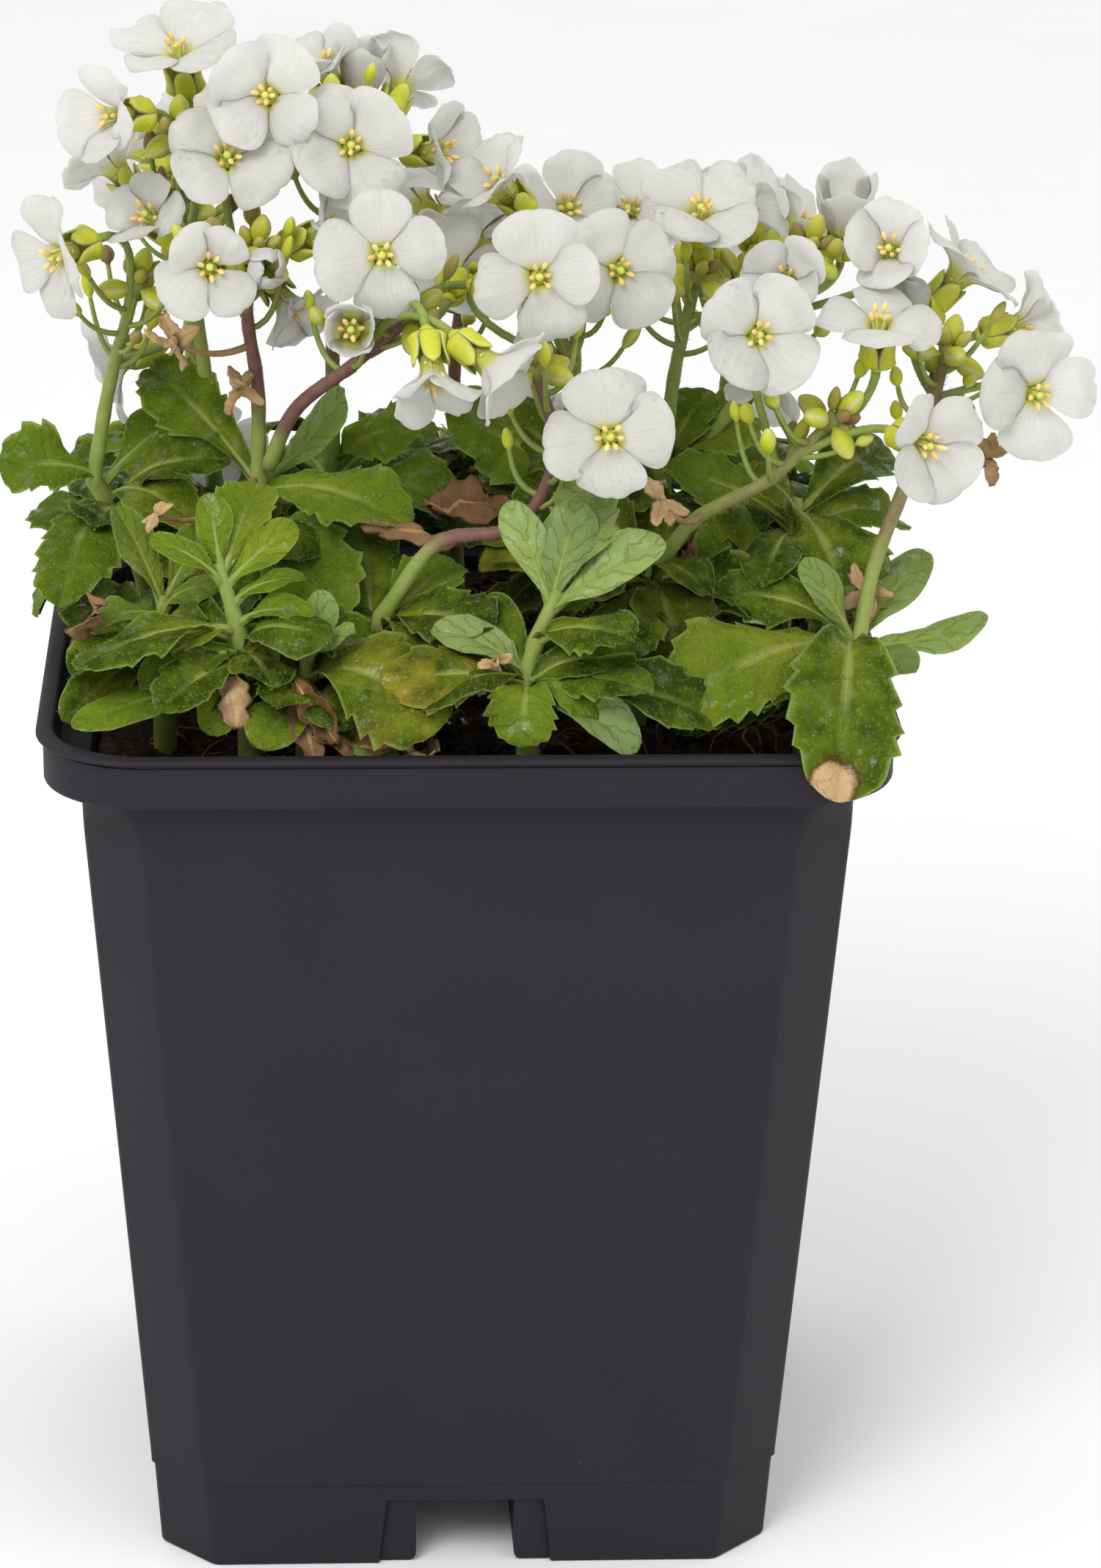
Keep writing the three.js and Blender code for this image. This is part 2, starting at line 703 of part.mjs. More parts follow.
    leaves: [
      [0.85, 22, -27, 103, 10, 3, 0, 60],
      [0.8, 10, -19, 108, 8, 2, 0, 60],
      [0.7, 29, -13, 106, 8, 2, 40, 60],
      [0.95, 11, -10, 118, 9, 1, 0, 40],
    ],
    stems: [
      {
        path: [[20, -18, 110], [24, -19, 116], [32, -20, 121], [38, -20, 127]],
        buds: 4,
        blooms: [
          [43, -19, 137, 0, 75, 15, 5, 0],
          [46.6, -30, 127.8, 30, 0, 14, 28, 45],
          [29.9, -23, 137.4, 5, 15, 14.5, 15, 40],
        ],
        opening: [],
      },
    ],
  },
  {
    name: "middle",
    path: [[10, 0, 84], [12, -1, 106], [13, -2, 117]],
    leaves: [
      [0.97, -2, -9, 125, 11, 1, 0, 50],
      [1.0, 4, -4, 124, 10, 1, 0, 50],
      [0.8, 2, -14, 112, 9, 2, 0, 60],
      [0.9, 18, -11, 117, 7, 2, 0, 60],
      [0.7, -2, 1, 110, 10, 3, -30, 50],
      [0.75, 6, -14, 115, 10, 2, 0, 45],
    ],
    stems: [
      {
        path: [[13, -2, 115], [12, -5, 126], [12, -6, 137]],
        buds: 4,
        blooms: [
          [7.1, -25, 144.1, 0, 15, 15, 10, 5],
          [1, 0, 142, 170, 50, 14, 18, 0],
          [4, -6, 149, -60, 45, 13, 40, 45],
          [11.1, 2, 144.6, 20, 30, 13, 30, 0],
          [15.8, -15, 142.3, 10, 10, 14, 18, 30],
          [8, 3, 120, 180, 20, 11, 30, 0],
        ],
        opening: [],
      },
    ],
  },
  {
    name: "right_rear",
    path: [[22, 6, 84], [22, 2, 106], [22, 0, 118]],
    leaves: [
      [0.97, 33, 5, 121, 9, 2, 0, 60],
      [1.0, 27, 4, 124, 7, 1, 0, 50],
      [0.85, 12, 9, 117, 8, 2, -60, 60],
      [0.8, 22, -13, 108, 11, 3, 0, 50],
      [0.75, 32, -9, 111, 10, 3, 20, 50],
    ],
    stems: [
      {
        path: [[22, 0, 116], [23, -2, 128], [25, -3, 138]],
        buds: 4,
        blooms: [
          [18.5, 5, 143.6, -30, 30, 12, 25, 0],
          [25, -6, 146, 0, 50, 15, 28, 45],
          [31, 8, 143, 110, 20, 13, 28, 0],
        ],
        opening: [],
      },
      {
        path: [[22, 1, 114], [29, 1, 122], [34, 0, 131], [37, 0, 140]],
        buds: 4,
        blooms: [
          [34, -10, 140, -20, 15, 12, 40, 45],
          [45, -10, 143, -20, 30, 13, 40, 0],
          [33, -9, 129, -20, -50, 12, 45, 0],
        ],
        opening: [[41.5, 5, 142.5, 0, 70, 11, 60, 0]],
      },
    ],
  },
  {
    name: "tall_left",
    path: [[-24, 10, 84], [-26, 6, 104], [-27, 4, 116]],
    leaves: [
      [0.7, -37, 16, 106, 9, 2, -40, 60],
      [0.8, -15, 14, 111, 8, 2, 40, 60],
      [0.8, -22.5, -7.5, 110.5, 10, 3, 0, 55],
      [0.8, -35.5, -5.5, 111, 9, 3, -20, 55],
    ],
    stems: [
      {
        path: [[-27, 4, 114], [-28, 2, 128], [-30, -2, 145], [-30, -4, 154]],
        buds: 4,
        blooms: [
          [-30, -2, 162, -30, 70, 15, 32, 45],
          [-36.4, -10, 157.5, -50, 5, 13.5, 32, 10],
          [-37, 2, 149, -120, 45, 13, 28, 0],
          [-20.6, -9, 159.4, -15, 15, 14, 22, 50],
        ],
        opening: [],
      },
      {
        path: [[-26, 6, 108], [-27, 13, 110], [-27, 16, 114]],
        buds: 0,
        blooms: [[-26.8, 11, 116.2, -5, 5, 11.5, 15, 10]],
        opening: [],
      },
    ],
  },
  {
    name: "tall_middle",
    path: [[-12, 8, 84], [-13, 6, 106], [-14, 4, 117]],
    leaves: [
      [0.9, -4, 16, 117, 9, 2, 40, 60],
      [0.85, -19, 20, 113, 8, 2, -40, 60],
      [0.97, -4, 1, 121, 8, 2, 0, 60],
      [0.8, -1, -6, 114, 11, 3, 0, 50],
      [0.75, -15, -10, 106, 10, 3, 0, 50],
    ],
    stems: [
      {
        path: [[-14, 4, 115], [-14, 2, 130], [-14, 0, 146], [-14, 0, 155]],
        buds: 4,
        blooms: [
          [-14.4, 5.2, 158.8, -40, 60, 11, 50, 0],
          [-6.4, 8, 156.7, 150, 40, 13, 32, 0],
          [-12, -9, 154, 0, 20, 15, 22, 30],
          [-3, -2, 152, 50, 10, 13, 33, 0],
        ],
        opening: [[-10.8, 7, 157.2, 30, 80, 8, 62, 0]],
      },
    ],
  },
  {
    name: "back_left",
    path: [[-28, 27, 84], [-29, 27, 102], [-30, 26, 112]],
    leaves: [
      [0.8, -46, 29, 105, 9, 4, -90, 60],
      [0.75, -40, 42, 104, 9, 4, -140, 60],
      [0.75, -25, 45, 103, 10, 4, 180, 60],
      [0.9, -17, 30, 112, 8, 2, 120, 60],
      [1.0, -30, 38, 117, 6, 1, 180, 40],
      [0.8, -20, 15, 107, 9, 3, 0, 50],
      [0.8, -38, 13, 110, 9, 3, -20, 50],
    ],
    stems: [
      {
        path: [[-30, 26, 110], [-30, 26, 126], [-31, 26, 139]],
        buds: 3,
        blooms: [
          [-35, 23.5, 146.1, -110, 30, 14, 18, 90],
          [-27.9, 29.3, 146, 165, 30, 14, 18, 20],
          [-27.6, 22.3, 148.6, 20, 70, 14, 22, 5],
          [-34.5, 30.9, 140.2, -160, 0, 14, 18, 25],
        ],
        opening: [],
      },
    ],
  },
  {
    name: "back_middle",
    path: [[0, 27, 84], [0, 28, 102], [0, 27, 111]],
    leaves: [
      [0.75, -10, 42, 103, 9, 4, -160, 60],
      [0.75, 4, 45, 102, 9, 4, 180, 60],
      [0.8, 14, 38, 105, 8, 3, 130, 60],
      [0.9, -11, 26, 113, 8, 2, -90, 60],
      [1.0, 9, 24, 116, 6, 1, 90, 50],
      [0.9, 3, 12, 114, 11, 3, 0, 50],
      [0.85, -9, 14, 113, 10, 3, -20, 50],
      [0.8, 12, 15, 112, 9, 3, 20, 50],
    ],
    stems: [
      {
        path: [[0, 27, 109], [0, 27, 121], [1, 26, 132]],
        buds: 3,
        blooms: [
          [-3.9, 27.1, 139.2, -130, 30, 14, 18, 85],
          [4.2, 31.2, 138.4, 165, 20, 14, 14, 80],
          [-0.1, 21.5, 142.2, 0, 75, 14, 22, 10],
          [6.8, 24, 136.8, 100, 15, 14, 22, 5],
        ],
        opening: [],
      },
    ],
  },
  {
    name: "back_right",
    path: [[28, 27, 84], [29, 27, 102], [30, 26, 111]],
    leaves: [
      [0.75, 44, 34, 104, 9, 4, 110, 60],
      [0.75, 32, 44, 103, 9, 4, 180, 60],
      [0.8, 19, 40, 105, 8, 3, -150, 60],
      [0.9, 43, 20, 112, 8, 2, 90, 60],
      [1.0, 36, 32, 117, 6, 1, 140, 50],
      [0.9, 24, 12, 114, 10, 3, 0, 50],
      [0.85, 37, 12, 113, 9, 3, 20, 50],
    ],
    stems: [
      {
        path: [[30, 26, 109], [31, 26, 120], [32, 26, 129]],
        buds: 3,
        blooms: [
          [26.7, 29.8, 137, -150, 25, 14, 18, 20],
          [35, 31.2, 135, 165, 15, 14, 14, 60],
          [38.1, 23.9, 137.4, 90, 40, 14, 22, 15],
          [29.6, 21.8, 140.3, -10, 75, 14, 22, 25],
        ],
        opening: [],
      },
    ],
  },
];

// Rounded or chamfered square: each corner is a fan of points that runs from a round corner to a straight
// chamfer
const CORNER_POINTS = 4;
const SOIL_CORNER_POINTS = 2;

function squareRing(half, corner, height, round, cornerPoints = CORNER_POINTS) {
  const ring = [];
  for (let quarter = 0; quarter < 4; quarter += 1) {
    const turn = (quarter * Math.PI) / 2;
    for (let k = 0; k < cornerPoints; k += 1) {
      const share = k / (cornerPoints - 1);
      const angle = (share * Math.PI) / 2;
      const arc = [half - corner + corner * Math.cos(angle), half - corner + corner * Math.sin(angle)];
      const cut = [half - corner * share, half - corner * (1 - share)];
      const x = round ? arc[0] : cut[0];
      const y = round ? arc[1] : cut[1];
      ring.push(new THREE.Vector3(
        x * Math.cos(turn) - y * Math.sin(turn),
        x * Math.sin(turn) + y * Math.cos(turn),
        height,
      ));
    }
  }
  return ring;
}

// Half width and chamfer of the tapering body at a height
function bodyHalf(height) {
  return mix(FOOT_HALF, SHOULDER_HALF, height / (POT_HEIGHT - BAND_HEIGHT));
}

function bodyChamfer(height) {
  return mix(CHAMFER_FOOT, CHAMFER_TOP, height / (POT_HEIGHT - BAND_HEIGHT));
}

function buildPot() {
  const shoulder = POT_HEIGHT - BAND_HEIGHT;
  const lipFoot = POT_HEIGHT - LIP_HEIGHT;
  const flare = shoulder - FLARE_HEIGHT;
  const outer = loftRings([
    squareRing(bodyHalf(0), bodyChamfer(0), 0, false),
    squareRing(bodyHalf(STEP_HEIGHT) - STEP_DEPTH, bodyChamfer(STEP_HEIGHT), STEP_HEIGHT, false),
    squareRing(bodyHalf(STEP_HEIGHT), bodyChamfer(STEP_HEIGHT), STEP_HEIGHT + 0.3, false),
    squareRing(bodyHalf(flare), bodyChamfer(flare), flare, false),
    squareRing(bodyHalf(shoulder), SHOULDER_CORNER, shoulder, true),
    squareRing(BAND_HALF - BAND_STEP, RIM_CORNER, shoulder, true),
    squareRing(BAND_HALF, RIM_CORNER, shoulder + 0.5, true),
    squareRing(BAND_HALF, RIM_CORNER, lipFoot, true),
    squareRing(RIM_HALF, RIM_CORNER, lipFoot + 0.1, true),
    squareRing(RIM_HALF, RIM_CORNER, POT_HEIGHT - 0.3, true),
    squareRing(RIM_HALF - BAND_STEP, RIM_CORNER, POT_HEIGHT, true),
  ]);
  const inner = loftRings([
    squareRing(bodyHalf(WALL) - WALL, bodyChamfer(WALL) - 0.6, WALL, false),
    squareRing(bodyHalf(flare) - WALL, bodyChamfer(flare) - 0.6, flare, false),
    squareRing(bodyHalf(shoulder) - WALL, SHOULDER_CORNER - INNER_CORNER_CUT, shoulder + 0.3, true),
    squareRing(BAND_HALF - WALL - 0.5, RIM_CORNER - INNER_CORNER_CUT, shoulder + WALL, true),
    squareRing(BAND_HALF - WALL, RIM_CORNER - INNER_CORNER_CUT, POT_HEIGHT + 1, true),
  ]);
  return wasm.Manifold.difference([
    outer,
    wasm.Manifold.difference([inner, ...drainChannels(WALL)]),
    ...drainChannels(0),
    ...footRecesses(),
  ]);
}

// A flat shape pushed inwards from the foot of each of the four sides
function onEachSide(outline, depth, inset, lean) {
  const solids = [];
  for (let side = 0; side < 4; side += 1) {
    const shape = new THREE.Shape(outline.map(([x, z]) => new THREE.Vector2(x, z)));
    const geometry = new THREE.ExtrudeGeometry(shape, { depth, bevelEnabled: false });
    geometry.rotateX(Math.PI / 2 + lean);
    geometry.translate(0, inset - FOOT_HALF, 0);
    geometry.rotateZ((side * Math.PI) / 2);
    solids.push(solidFromGeometry(geometry));
  }
  return solids;
}

// Drainage channels that run inwards from the notch in the foot of each side; grow adds the wall over them
function drainChannels(grow) {
  const half = NOTCH_WIDTH / 2 + grow;
  const outline = [[-half, -1], [half, -1], [half, NOTCH_HEIGHT + grow], [-half, NOTCH_HEIGHT + grow]];
  const depth = CHANNEL_LENGTH + grow;
  return onEachSide(outline, depth + 2, depth, 0);
}

// Shallow recess beside each notch, narrower at its top
function footRecesses() {
  const foot = RECESS_FOOT_WIDTH / 2;
  const top = RECESS_TOP_WIDTH / 2;
  const lean = Math.atan((SHOULDER_HALF - FOOT_HALF) / (POT_HEIGHT - BAND_HEIGHT));
  const outline = [[-foot, -1], [foot, -1], [top, RECESS_HEIGHT], [-top, RECESS_HEIGHT]];
  return onEachSide(outline, 3, RECESS_DEPTH, lean);
}

// The room that the upper wall and rim of the pot take up, fattened for clearance
function rimGuard() {
  const shoulder = POT_HEIGHT - BAND_HEIGHT;
  const low = shoulder - FLARE_HEIGHT;
  const wall = WALL + CLEARANCE;
  const outer = loftRings([
    squareRing(bodyHalf(low) + CLEARANCE, SHOULDER_CORNER, low, true),
    squareRing(bodyHalf(shoulder) + CLEARANCE, SHOULDER_CORNER, shoulder - CLEARANCE, true),
    squareRing(RIM_HALF + CLEARANCE, RIM_CORNER, shoulder - CLEARANCE + 0.01, true),
    squareRing(RIM_HALF + CLEARANCE, RIM_CORNER, POT_HEIGHT + CLEARANCE, true),
  ]);
  const inner = loftRings([
    squareRing(bodyHalf(low) - wall, SHOULDER_CORNER - INNER_CORNER_CUT, low - 1, true),
    squareRing(bodyHalf(shoulder) - wall, SHOULDER_CORNER - INNER_CORNER_CUT, shoulder + 0.3, true),
    squareRing(BAND_HALF - wall - 0.5, RIM_CORNER - INNER_CORNER_CUT, shoulder + wall, true),
    squareRing(BAND_HALF - wall, RIM_CORNER - INNER_CORNER_CUT, POT_HEIGHT + 1, true),
  ]);
  return outer.subtract(inner);
}

// Peat block: its top is rings of points that rise and fall a little; grow lifts it for clearance
function buildSoil(pegs, grow) {
  const draw = seededDraw(7);
  const gap = WALL + CLEARANCE;
  const flare = POT_HEIGHT - BAND_HEIGHT - FLARE_HEIGHT;
  const half = bodyHalf(SOIL_LEVEL - 1) - gap - 0.2;
  const corner = SHOULDER_CORNER - INNER_CORNER_CUT;
  const rings = [
    squareRing(bodyHalf(gap) - gap, bodyChamfer(gap), gap, false, SOIL_CORNER_POINTS),
    squareRing(bodyHalf(flare) - gap, bodyChamfer(flare), flare, false, SOIL_CORNER_POINTS),
    squareRing(half, corner, SOIL_LEVEL - SOIL_EDGE_DROP + grow, true, SOIL_CORNER_POINTS),
  ];
  for (const share of SOIL_RINGS) {
    const ring = squareRing(half * share, corner * share, SOIL_LEVEL + grow, true, SOIL_CORNER_POINTS);
    for (const point of ring) point.z += SOIL_BUMP * (2 * draw() - 1) + SOIL_CROWN * (1 - share);
    rings.push(ring);
  }
  const block = loftRings(rings, null, new THREE.Vector3(0, 0, SOIL_LEVEL + SOIL_CROWN + grow));
  return wasm.Manifold.difference([block, ...drainChannels(WALL + CLEARANCE), ...pegs]);
}

function toMesh(solid, name, color, roughness) {
  const mesh = solid.getMesh();
  const geometry = new THREE.BufferGeometry();
  geometry.setAttribute("position", new THREE.BufferAttribute(new Float32Array(mesh.vertProperties), 3));
  geometry.setIndex(new THREE.BufferAttribute(new Uint32Array(mesh.triVerts), 1));
  const named = new THREE.Mesh(geometry, new THREE.MeshStandardMaterial({ color, roughness, metalness: 0 }));
  named.name = name;
  return named;
}

// The largest body of a solid: scraps that a cut leaves loose are dropped
function largestBody(solid) {
  return solid.decompose().reduce((best, body) => (body.volume() > best.volume() ? body : best));
}

function boxesMeet(a, b) {
  for (let k = 0; k < 3; k += 1) {
    if (a.min[k] > b.max[k] || b.min[k] > a.max[k]) return false;
  }
  return true;
}

// What is left of a solid when the fattened solids in its way are cut from it
function clearOf(solid, obstacles) {
  const box = solid.boundingBox();
  const near = obstacles.filter((other) => boxesMeet(box, other.boundingBox()));
  return near.length > 0 ? wasm.Manifold.difference([solid, ...near]) : solid;
}

// Crown, stems, stalks, sepal cups and buds of one plant. The crown runs on into the first stem as one
// tube.
function plantFrame(plant, grow) {
  const crown = new THREE.CatmullRomCurve3(plant.path.map(vec));
  const stems = plant.stems.map((stem) => new THREE.CatmullRomCurve3(stem.path.map(vec)));
  const parts = [mainTube(crown, stems[0], grow)];
  for (const curve of stems.slice(1)) {
    parts.push(taperedTube(curve, STEM_STEPS, STEM_RADIUS, STEM_TIP_RADIUS, grow));
  }
  plant.stems.forEach((stem, index) => {
    const curve = stems[index];
    if (stem.buds > 0) parts.push(budCluster(curve, stem.buds, grow));
    const addStalk = (row, tip) => parts.push(stalkAndCup(curve, bloomFrame(row), tip, grow));
    for (const row of stem.blooms) addStalk(row, SEPAL_TIP - CUP_HOLLOW);
    for (const row of stem.opening) addStalk(row, OPENING_TIP);
  });
  return parts;
}

function plantLeaves(plant, grow) {
  const crown = new THREE.CatmullRomCurve3(plant.path.map(vec));
  return plant.leaves.map(([share, ...row]) => blade(leafShape(crown.getPoint(share * LEAF_TOP), row), grow));
}

// The green pieces: each plant's crown, stems and buds give way to those placed before, and its leaves give
// way to every other plant, to the soil and to the pot
function buildGreens(frames) {
  const placed = [];
  const bounds = [rimGuard(), buildSoil([], CLEARANCE)];
  const stalks = frames.map(({ parts, fat }) => {
    const whole = clearOf(wasm.Manifold.union(parts), placed);
    placed.push(...fat);
    return whole;
  });
  return frames.map((entry, index) => {
    const others = frames.filter((other) => other !== entry).flatMap((other) => other.fat);
    const obstacles = [...others, ...frames.slice(0, index).flatMap((other) => other.fatLeaves), ...bounds];
    const leaves = entry.leaves.map((leaf) => largestBody(clearOf(leaf, obstacles)));
    return largestBody(wasm.Manifold.union([stalks[index], ...leaves]));
  });
}

// The white pieces: blooms whose petals cross are one body, named after the plant of its first bloom
function buildHeads(frames) {
  const obstacles = frames.flatMap((entry) => [...entry.fat, ...entry.fatLeaves]);
  const blooms = [];
  for (const { plant } of frames) {
    for (const row of plant.stems.flatMap((stem) => stem.blooms)) {
      const solid = largestBody(clearOf(corolla(row, 0), obstacles));
      blooms.push({ plant: plant.name, throat: row.slice(0, 3), solid });
    }
  }
  const counts = {};
  const bodies = wasm.Manifold.union(blooms.map((bloom) => bloom.solid)).decompose();
  return bodies.filter((body) => body.volume() > SCRAP_VOLUME).map((body) => {
    const member = blooms.find((bloom) => body.intersect(bloom.solid).volume() > bloom.solid.volume() / 2);
    counts[member.plant] = (counts[member.plant] || 0) + 1;
    return { name: `blooms_${member.plant}_${counts[member.plant]}`, solid: body };
  });
}

const frames = PLANTS.map((plant) => ({
  plant,
  parts: plantFrame(plant, 0),
  fat: plantFrame(plant, CLEARANCE),
  leaves: plantLeaves(plant, 0),
  fatLeaves: plantLeaves(plant, CLEARANCE),
}));

const group = new THREE.Group();
group.add(toMesh(buildPot(), "pot", 0x39373c, 0.6));
group.add(toMesh(buildSoil(frames.map((entry) => entry.fat[0]), 0), "soil", 0x2b211b, 0.95));
buildGreens(frames).forEach((solid, index) => {
  group.add(toMesh(solid, `leafy_stem_${frames[index].plant.name}`, 0x5c8a2e, 0.6));
});
for (const { name, solid } of buildHeads(frames)) {
  group.add(toMesh(solid, name, 0xf4f2ec, 0.5));
}

export default group;
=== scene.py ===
"""Potted rock cress in white flower: the looks of every piece, laid over its CAD frame.

Lengths are in millimetres until a mesh is made, which is in metres.
"""

import json
import logging
import math
from dataclasses import dataclass, field
from enum import Enum
from typing import Any

import bpy
import numpy as np
from mathutils import Matrix

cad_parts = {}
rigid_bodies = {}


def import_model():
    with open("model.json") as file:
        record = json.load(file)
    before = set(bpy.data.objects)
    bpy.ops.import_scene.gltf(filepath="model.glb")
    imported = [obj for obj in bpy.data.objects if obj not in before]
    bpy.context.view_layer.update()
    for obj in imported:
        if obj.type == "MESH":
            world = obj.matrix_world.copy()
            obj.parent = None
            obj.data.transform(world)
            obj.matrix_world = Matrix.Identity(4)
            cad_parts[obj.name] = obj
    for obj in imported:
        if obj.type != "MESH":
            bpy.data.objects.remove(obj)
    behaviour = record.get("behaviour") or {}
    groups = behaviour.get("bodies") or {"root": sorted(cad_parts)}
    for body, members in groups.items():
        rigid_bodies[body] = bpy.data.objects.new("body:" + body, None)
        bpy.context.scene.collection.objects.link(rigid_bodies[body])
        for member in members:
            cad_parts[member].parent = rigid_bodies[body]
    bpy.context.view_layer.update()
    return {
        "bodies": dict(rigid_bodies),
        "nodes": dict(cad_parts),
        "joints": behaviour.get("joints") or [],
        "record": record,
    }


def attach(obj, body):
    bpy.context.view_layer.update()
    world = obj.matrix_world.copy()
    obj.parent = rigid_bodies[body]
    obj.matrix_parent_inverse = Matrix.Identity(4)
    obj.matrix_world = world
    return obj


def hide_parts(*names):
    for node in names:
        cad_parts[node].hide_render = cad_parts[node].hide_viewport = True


LOG = logging.getLogger("potted_rock_cress")
MM = 0.001
UPWARDS = np.array([0.0, 0.0, 1.0])
Array = np.ndarray
Rgba = tuple[float, float, float, float]
Draw = np.random.Generator
Tree = bpy.types.NodeTree


# Vectors and curves


def unit(vectors: Array) -> Array:
    """Scale vectors to length one.

    Args:
        vectors: One vector, or an array of them along the last axis.

    Returns:
        Vectors of the same directions and length one.
    """
    return vectors / np.maximum(np.linalg.norm(vectors, axis=-1, keepdims=True), 1e-9)


def facing(turn: float, tilt: float) -> Array:
    """Give the direction that faces the front, turned to the right and tilted up.

    Args:
        turn: Degrees to the right of the front.
        tilt: Degrees above the level.

    Returns:
        (cos tilt sin turn, -cos tilt cos turn, sin tilt).
    """
    side, rise = math.radians(turn), math.radians(tilt)
    return np.array([math.cos(rise) * math.sin(side), -math.cos(rise) * math.cos(side), math.sin(rise)])


def ease(values: Array, low: float, high: float) -> Array:
    """Rise smoothly from 0 to 1 between two values.

    Args:
        values: Where the step is read.
        low: Value at which it leaves 0.
        high: Value at which it reaches 1.

    Returns:
        3 t squared less 2 t cubed, with t the clipped share of the way.
    """
    share = np.clip((values - low) / (high - low), 0.0, 1.0)
    return share * share * (3.0 - 2.0 * share)


def ripple(points: Array, wave: float, seed: int) -> Array:
    """Read smooth seeded unevenness in space.

    Args:
        points: Places in millimetres, along the last axis.
        wave: Typical length of a wave in millimetres.
        seed: Seed of the waves.

    Returns:
        The mean of seven sine waves in seven directions, about -1 to 1.
    """
    draw = np.random.default_rng(seed)
    ways = unit(draw.normal(size=(7, 3))) * (2 * np.pi / wave) * draw.uniform(0.6, 1.4, (7, 1))
    return np.sin(points @ ways.T + draw.uniform(0, 2 * np.pi, 7)).mean(axis=-1) * 1.8


@dataclass(frozen=True)
class Curve:
    """Smooth curve, held as a dense row of points and their distances along it."""

    points: Array
    steps: Array

    @classmethod
    def through(cls, knots: tuple[tuple[float, ...], ...]) -> "Curve":
        """Lay a centripetal Catmull-Rom curve through knots.

        Args:
            knots: Points that the curve passes through, in millimetres.

        Returns:
            The curve: cubics between the knots whose slopes weigh each span by the root of its length.
        """
        inner = np.asarray(knots, dtype=float)
        knot = np.vstack([2 * inner[0] - inner[1], inner, 2 * inner[-1] - inner[-2]])
        root = np.sqrt(np.linalg.norm(np.diff(knot, axis=0), axis=1))[:, None]
        before, span, after = root[:-2], root[1:-1], root[2:]
        p0, p1, p2, p3 = knot[:-3], knot[1:-2], knot[2:-1], knot[3:]
        leave = ((p1 - p0) / before - (p2 - p0) / (before + span) + (p2 - p1) / span) * span
        reach = ((p2 - p1) / span - (p3 - p1) / (span + after) + (p3 - p2) / after) * span
        w = np.linspace(0, 1, 33)[:-1, None, None]
        rows = p1 + leave * w + (-3 * p1 + 3 * p2 - 2 * leave - reach) * w**2
        rows = rows + (2 * p1 - 2 * p2 + leave + reach) * w**3
        return cls.dense(np.vstack([rows.transpose(1, 0, 2).reshape(-1, 3), inner[-1]]))

    @classmethod
    def bend(cls, start: Array, pull: Array, end: Array) -> "Curve":
        """Lay a quadratic Bezier curve from start to end, pulled towards a third point.

        Args:
            start: First point.
            pull: Point that draws the curve aside.
            end: Last point.

        Returns:
            The curve (1-w)(1-w) start + 2 w (1-w) pull + w w end.
        """
        w = np.linspace(0, 1, 49)[:, None]
        return cls.dense((1 - w) ** 2 * start + 2 * w * (1 - w) * pull + w**2 * end)

    @classmethod
    def dense(cls, points: Array) -> "Curve":
        """Keep a dense row of points with the distance walked to each."""
        gaps = np.linalg.norm(np.diff(points, axis=0), axis=1)
        return cls(points, np.concatenate([[0.0], np.cumsum(gaps)]))

    @property
    def length(self) -> float:
        """Give the length of the curve in millimetres."""
        return float(self.steps[-1])

    def knot(self, share: float) -> Array:
        """Give a point at a share of the knots.

        Args:
            share: Even share of the knots, rather than of the length.

        Returns:
            The point.
        """
        place = share * (len(self.points) - 1)
        low = min(int(place), len(self.points) - 2)
        return self.points[low] + (self.points[low + 1] - self.points[low]) * (place - low)

    def at(self, shares: Array | float) -> Array:
        """Give the points at shares of the length."""
        where = np.asarray(shares, dtype=float) * self.length
        return np.stack([np.interp(where, self.steps, self.points[:, k]) for k in range(3)], axis=-1)

    def along(self, shares: Array | float) -> Array:
        """Give the directions at shares of the length."""
        where = np.asarray(shares, dtype=float)
        return unit(self.at(np.clip(where + 0.01, 0, 1)) - self.at(np.clip(where - 0.01, 0, 1)))


# Meshes


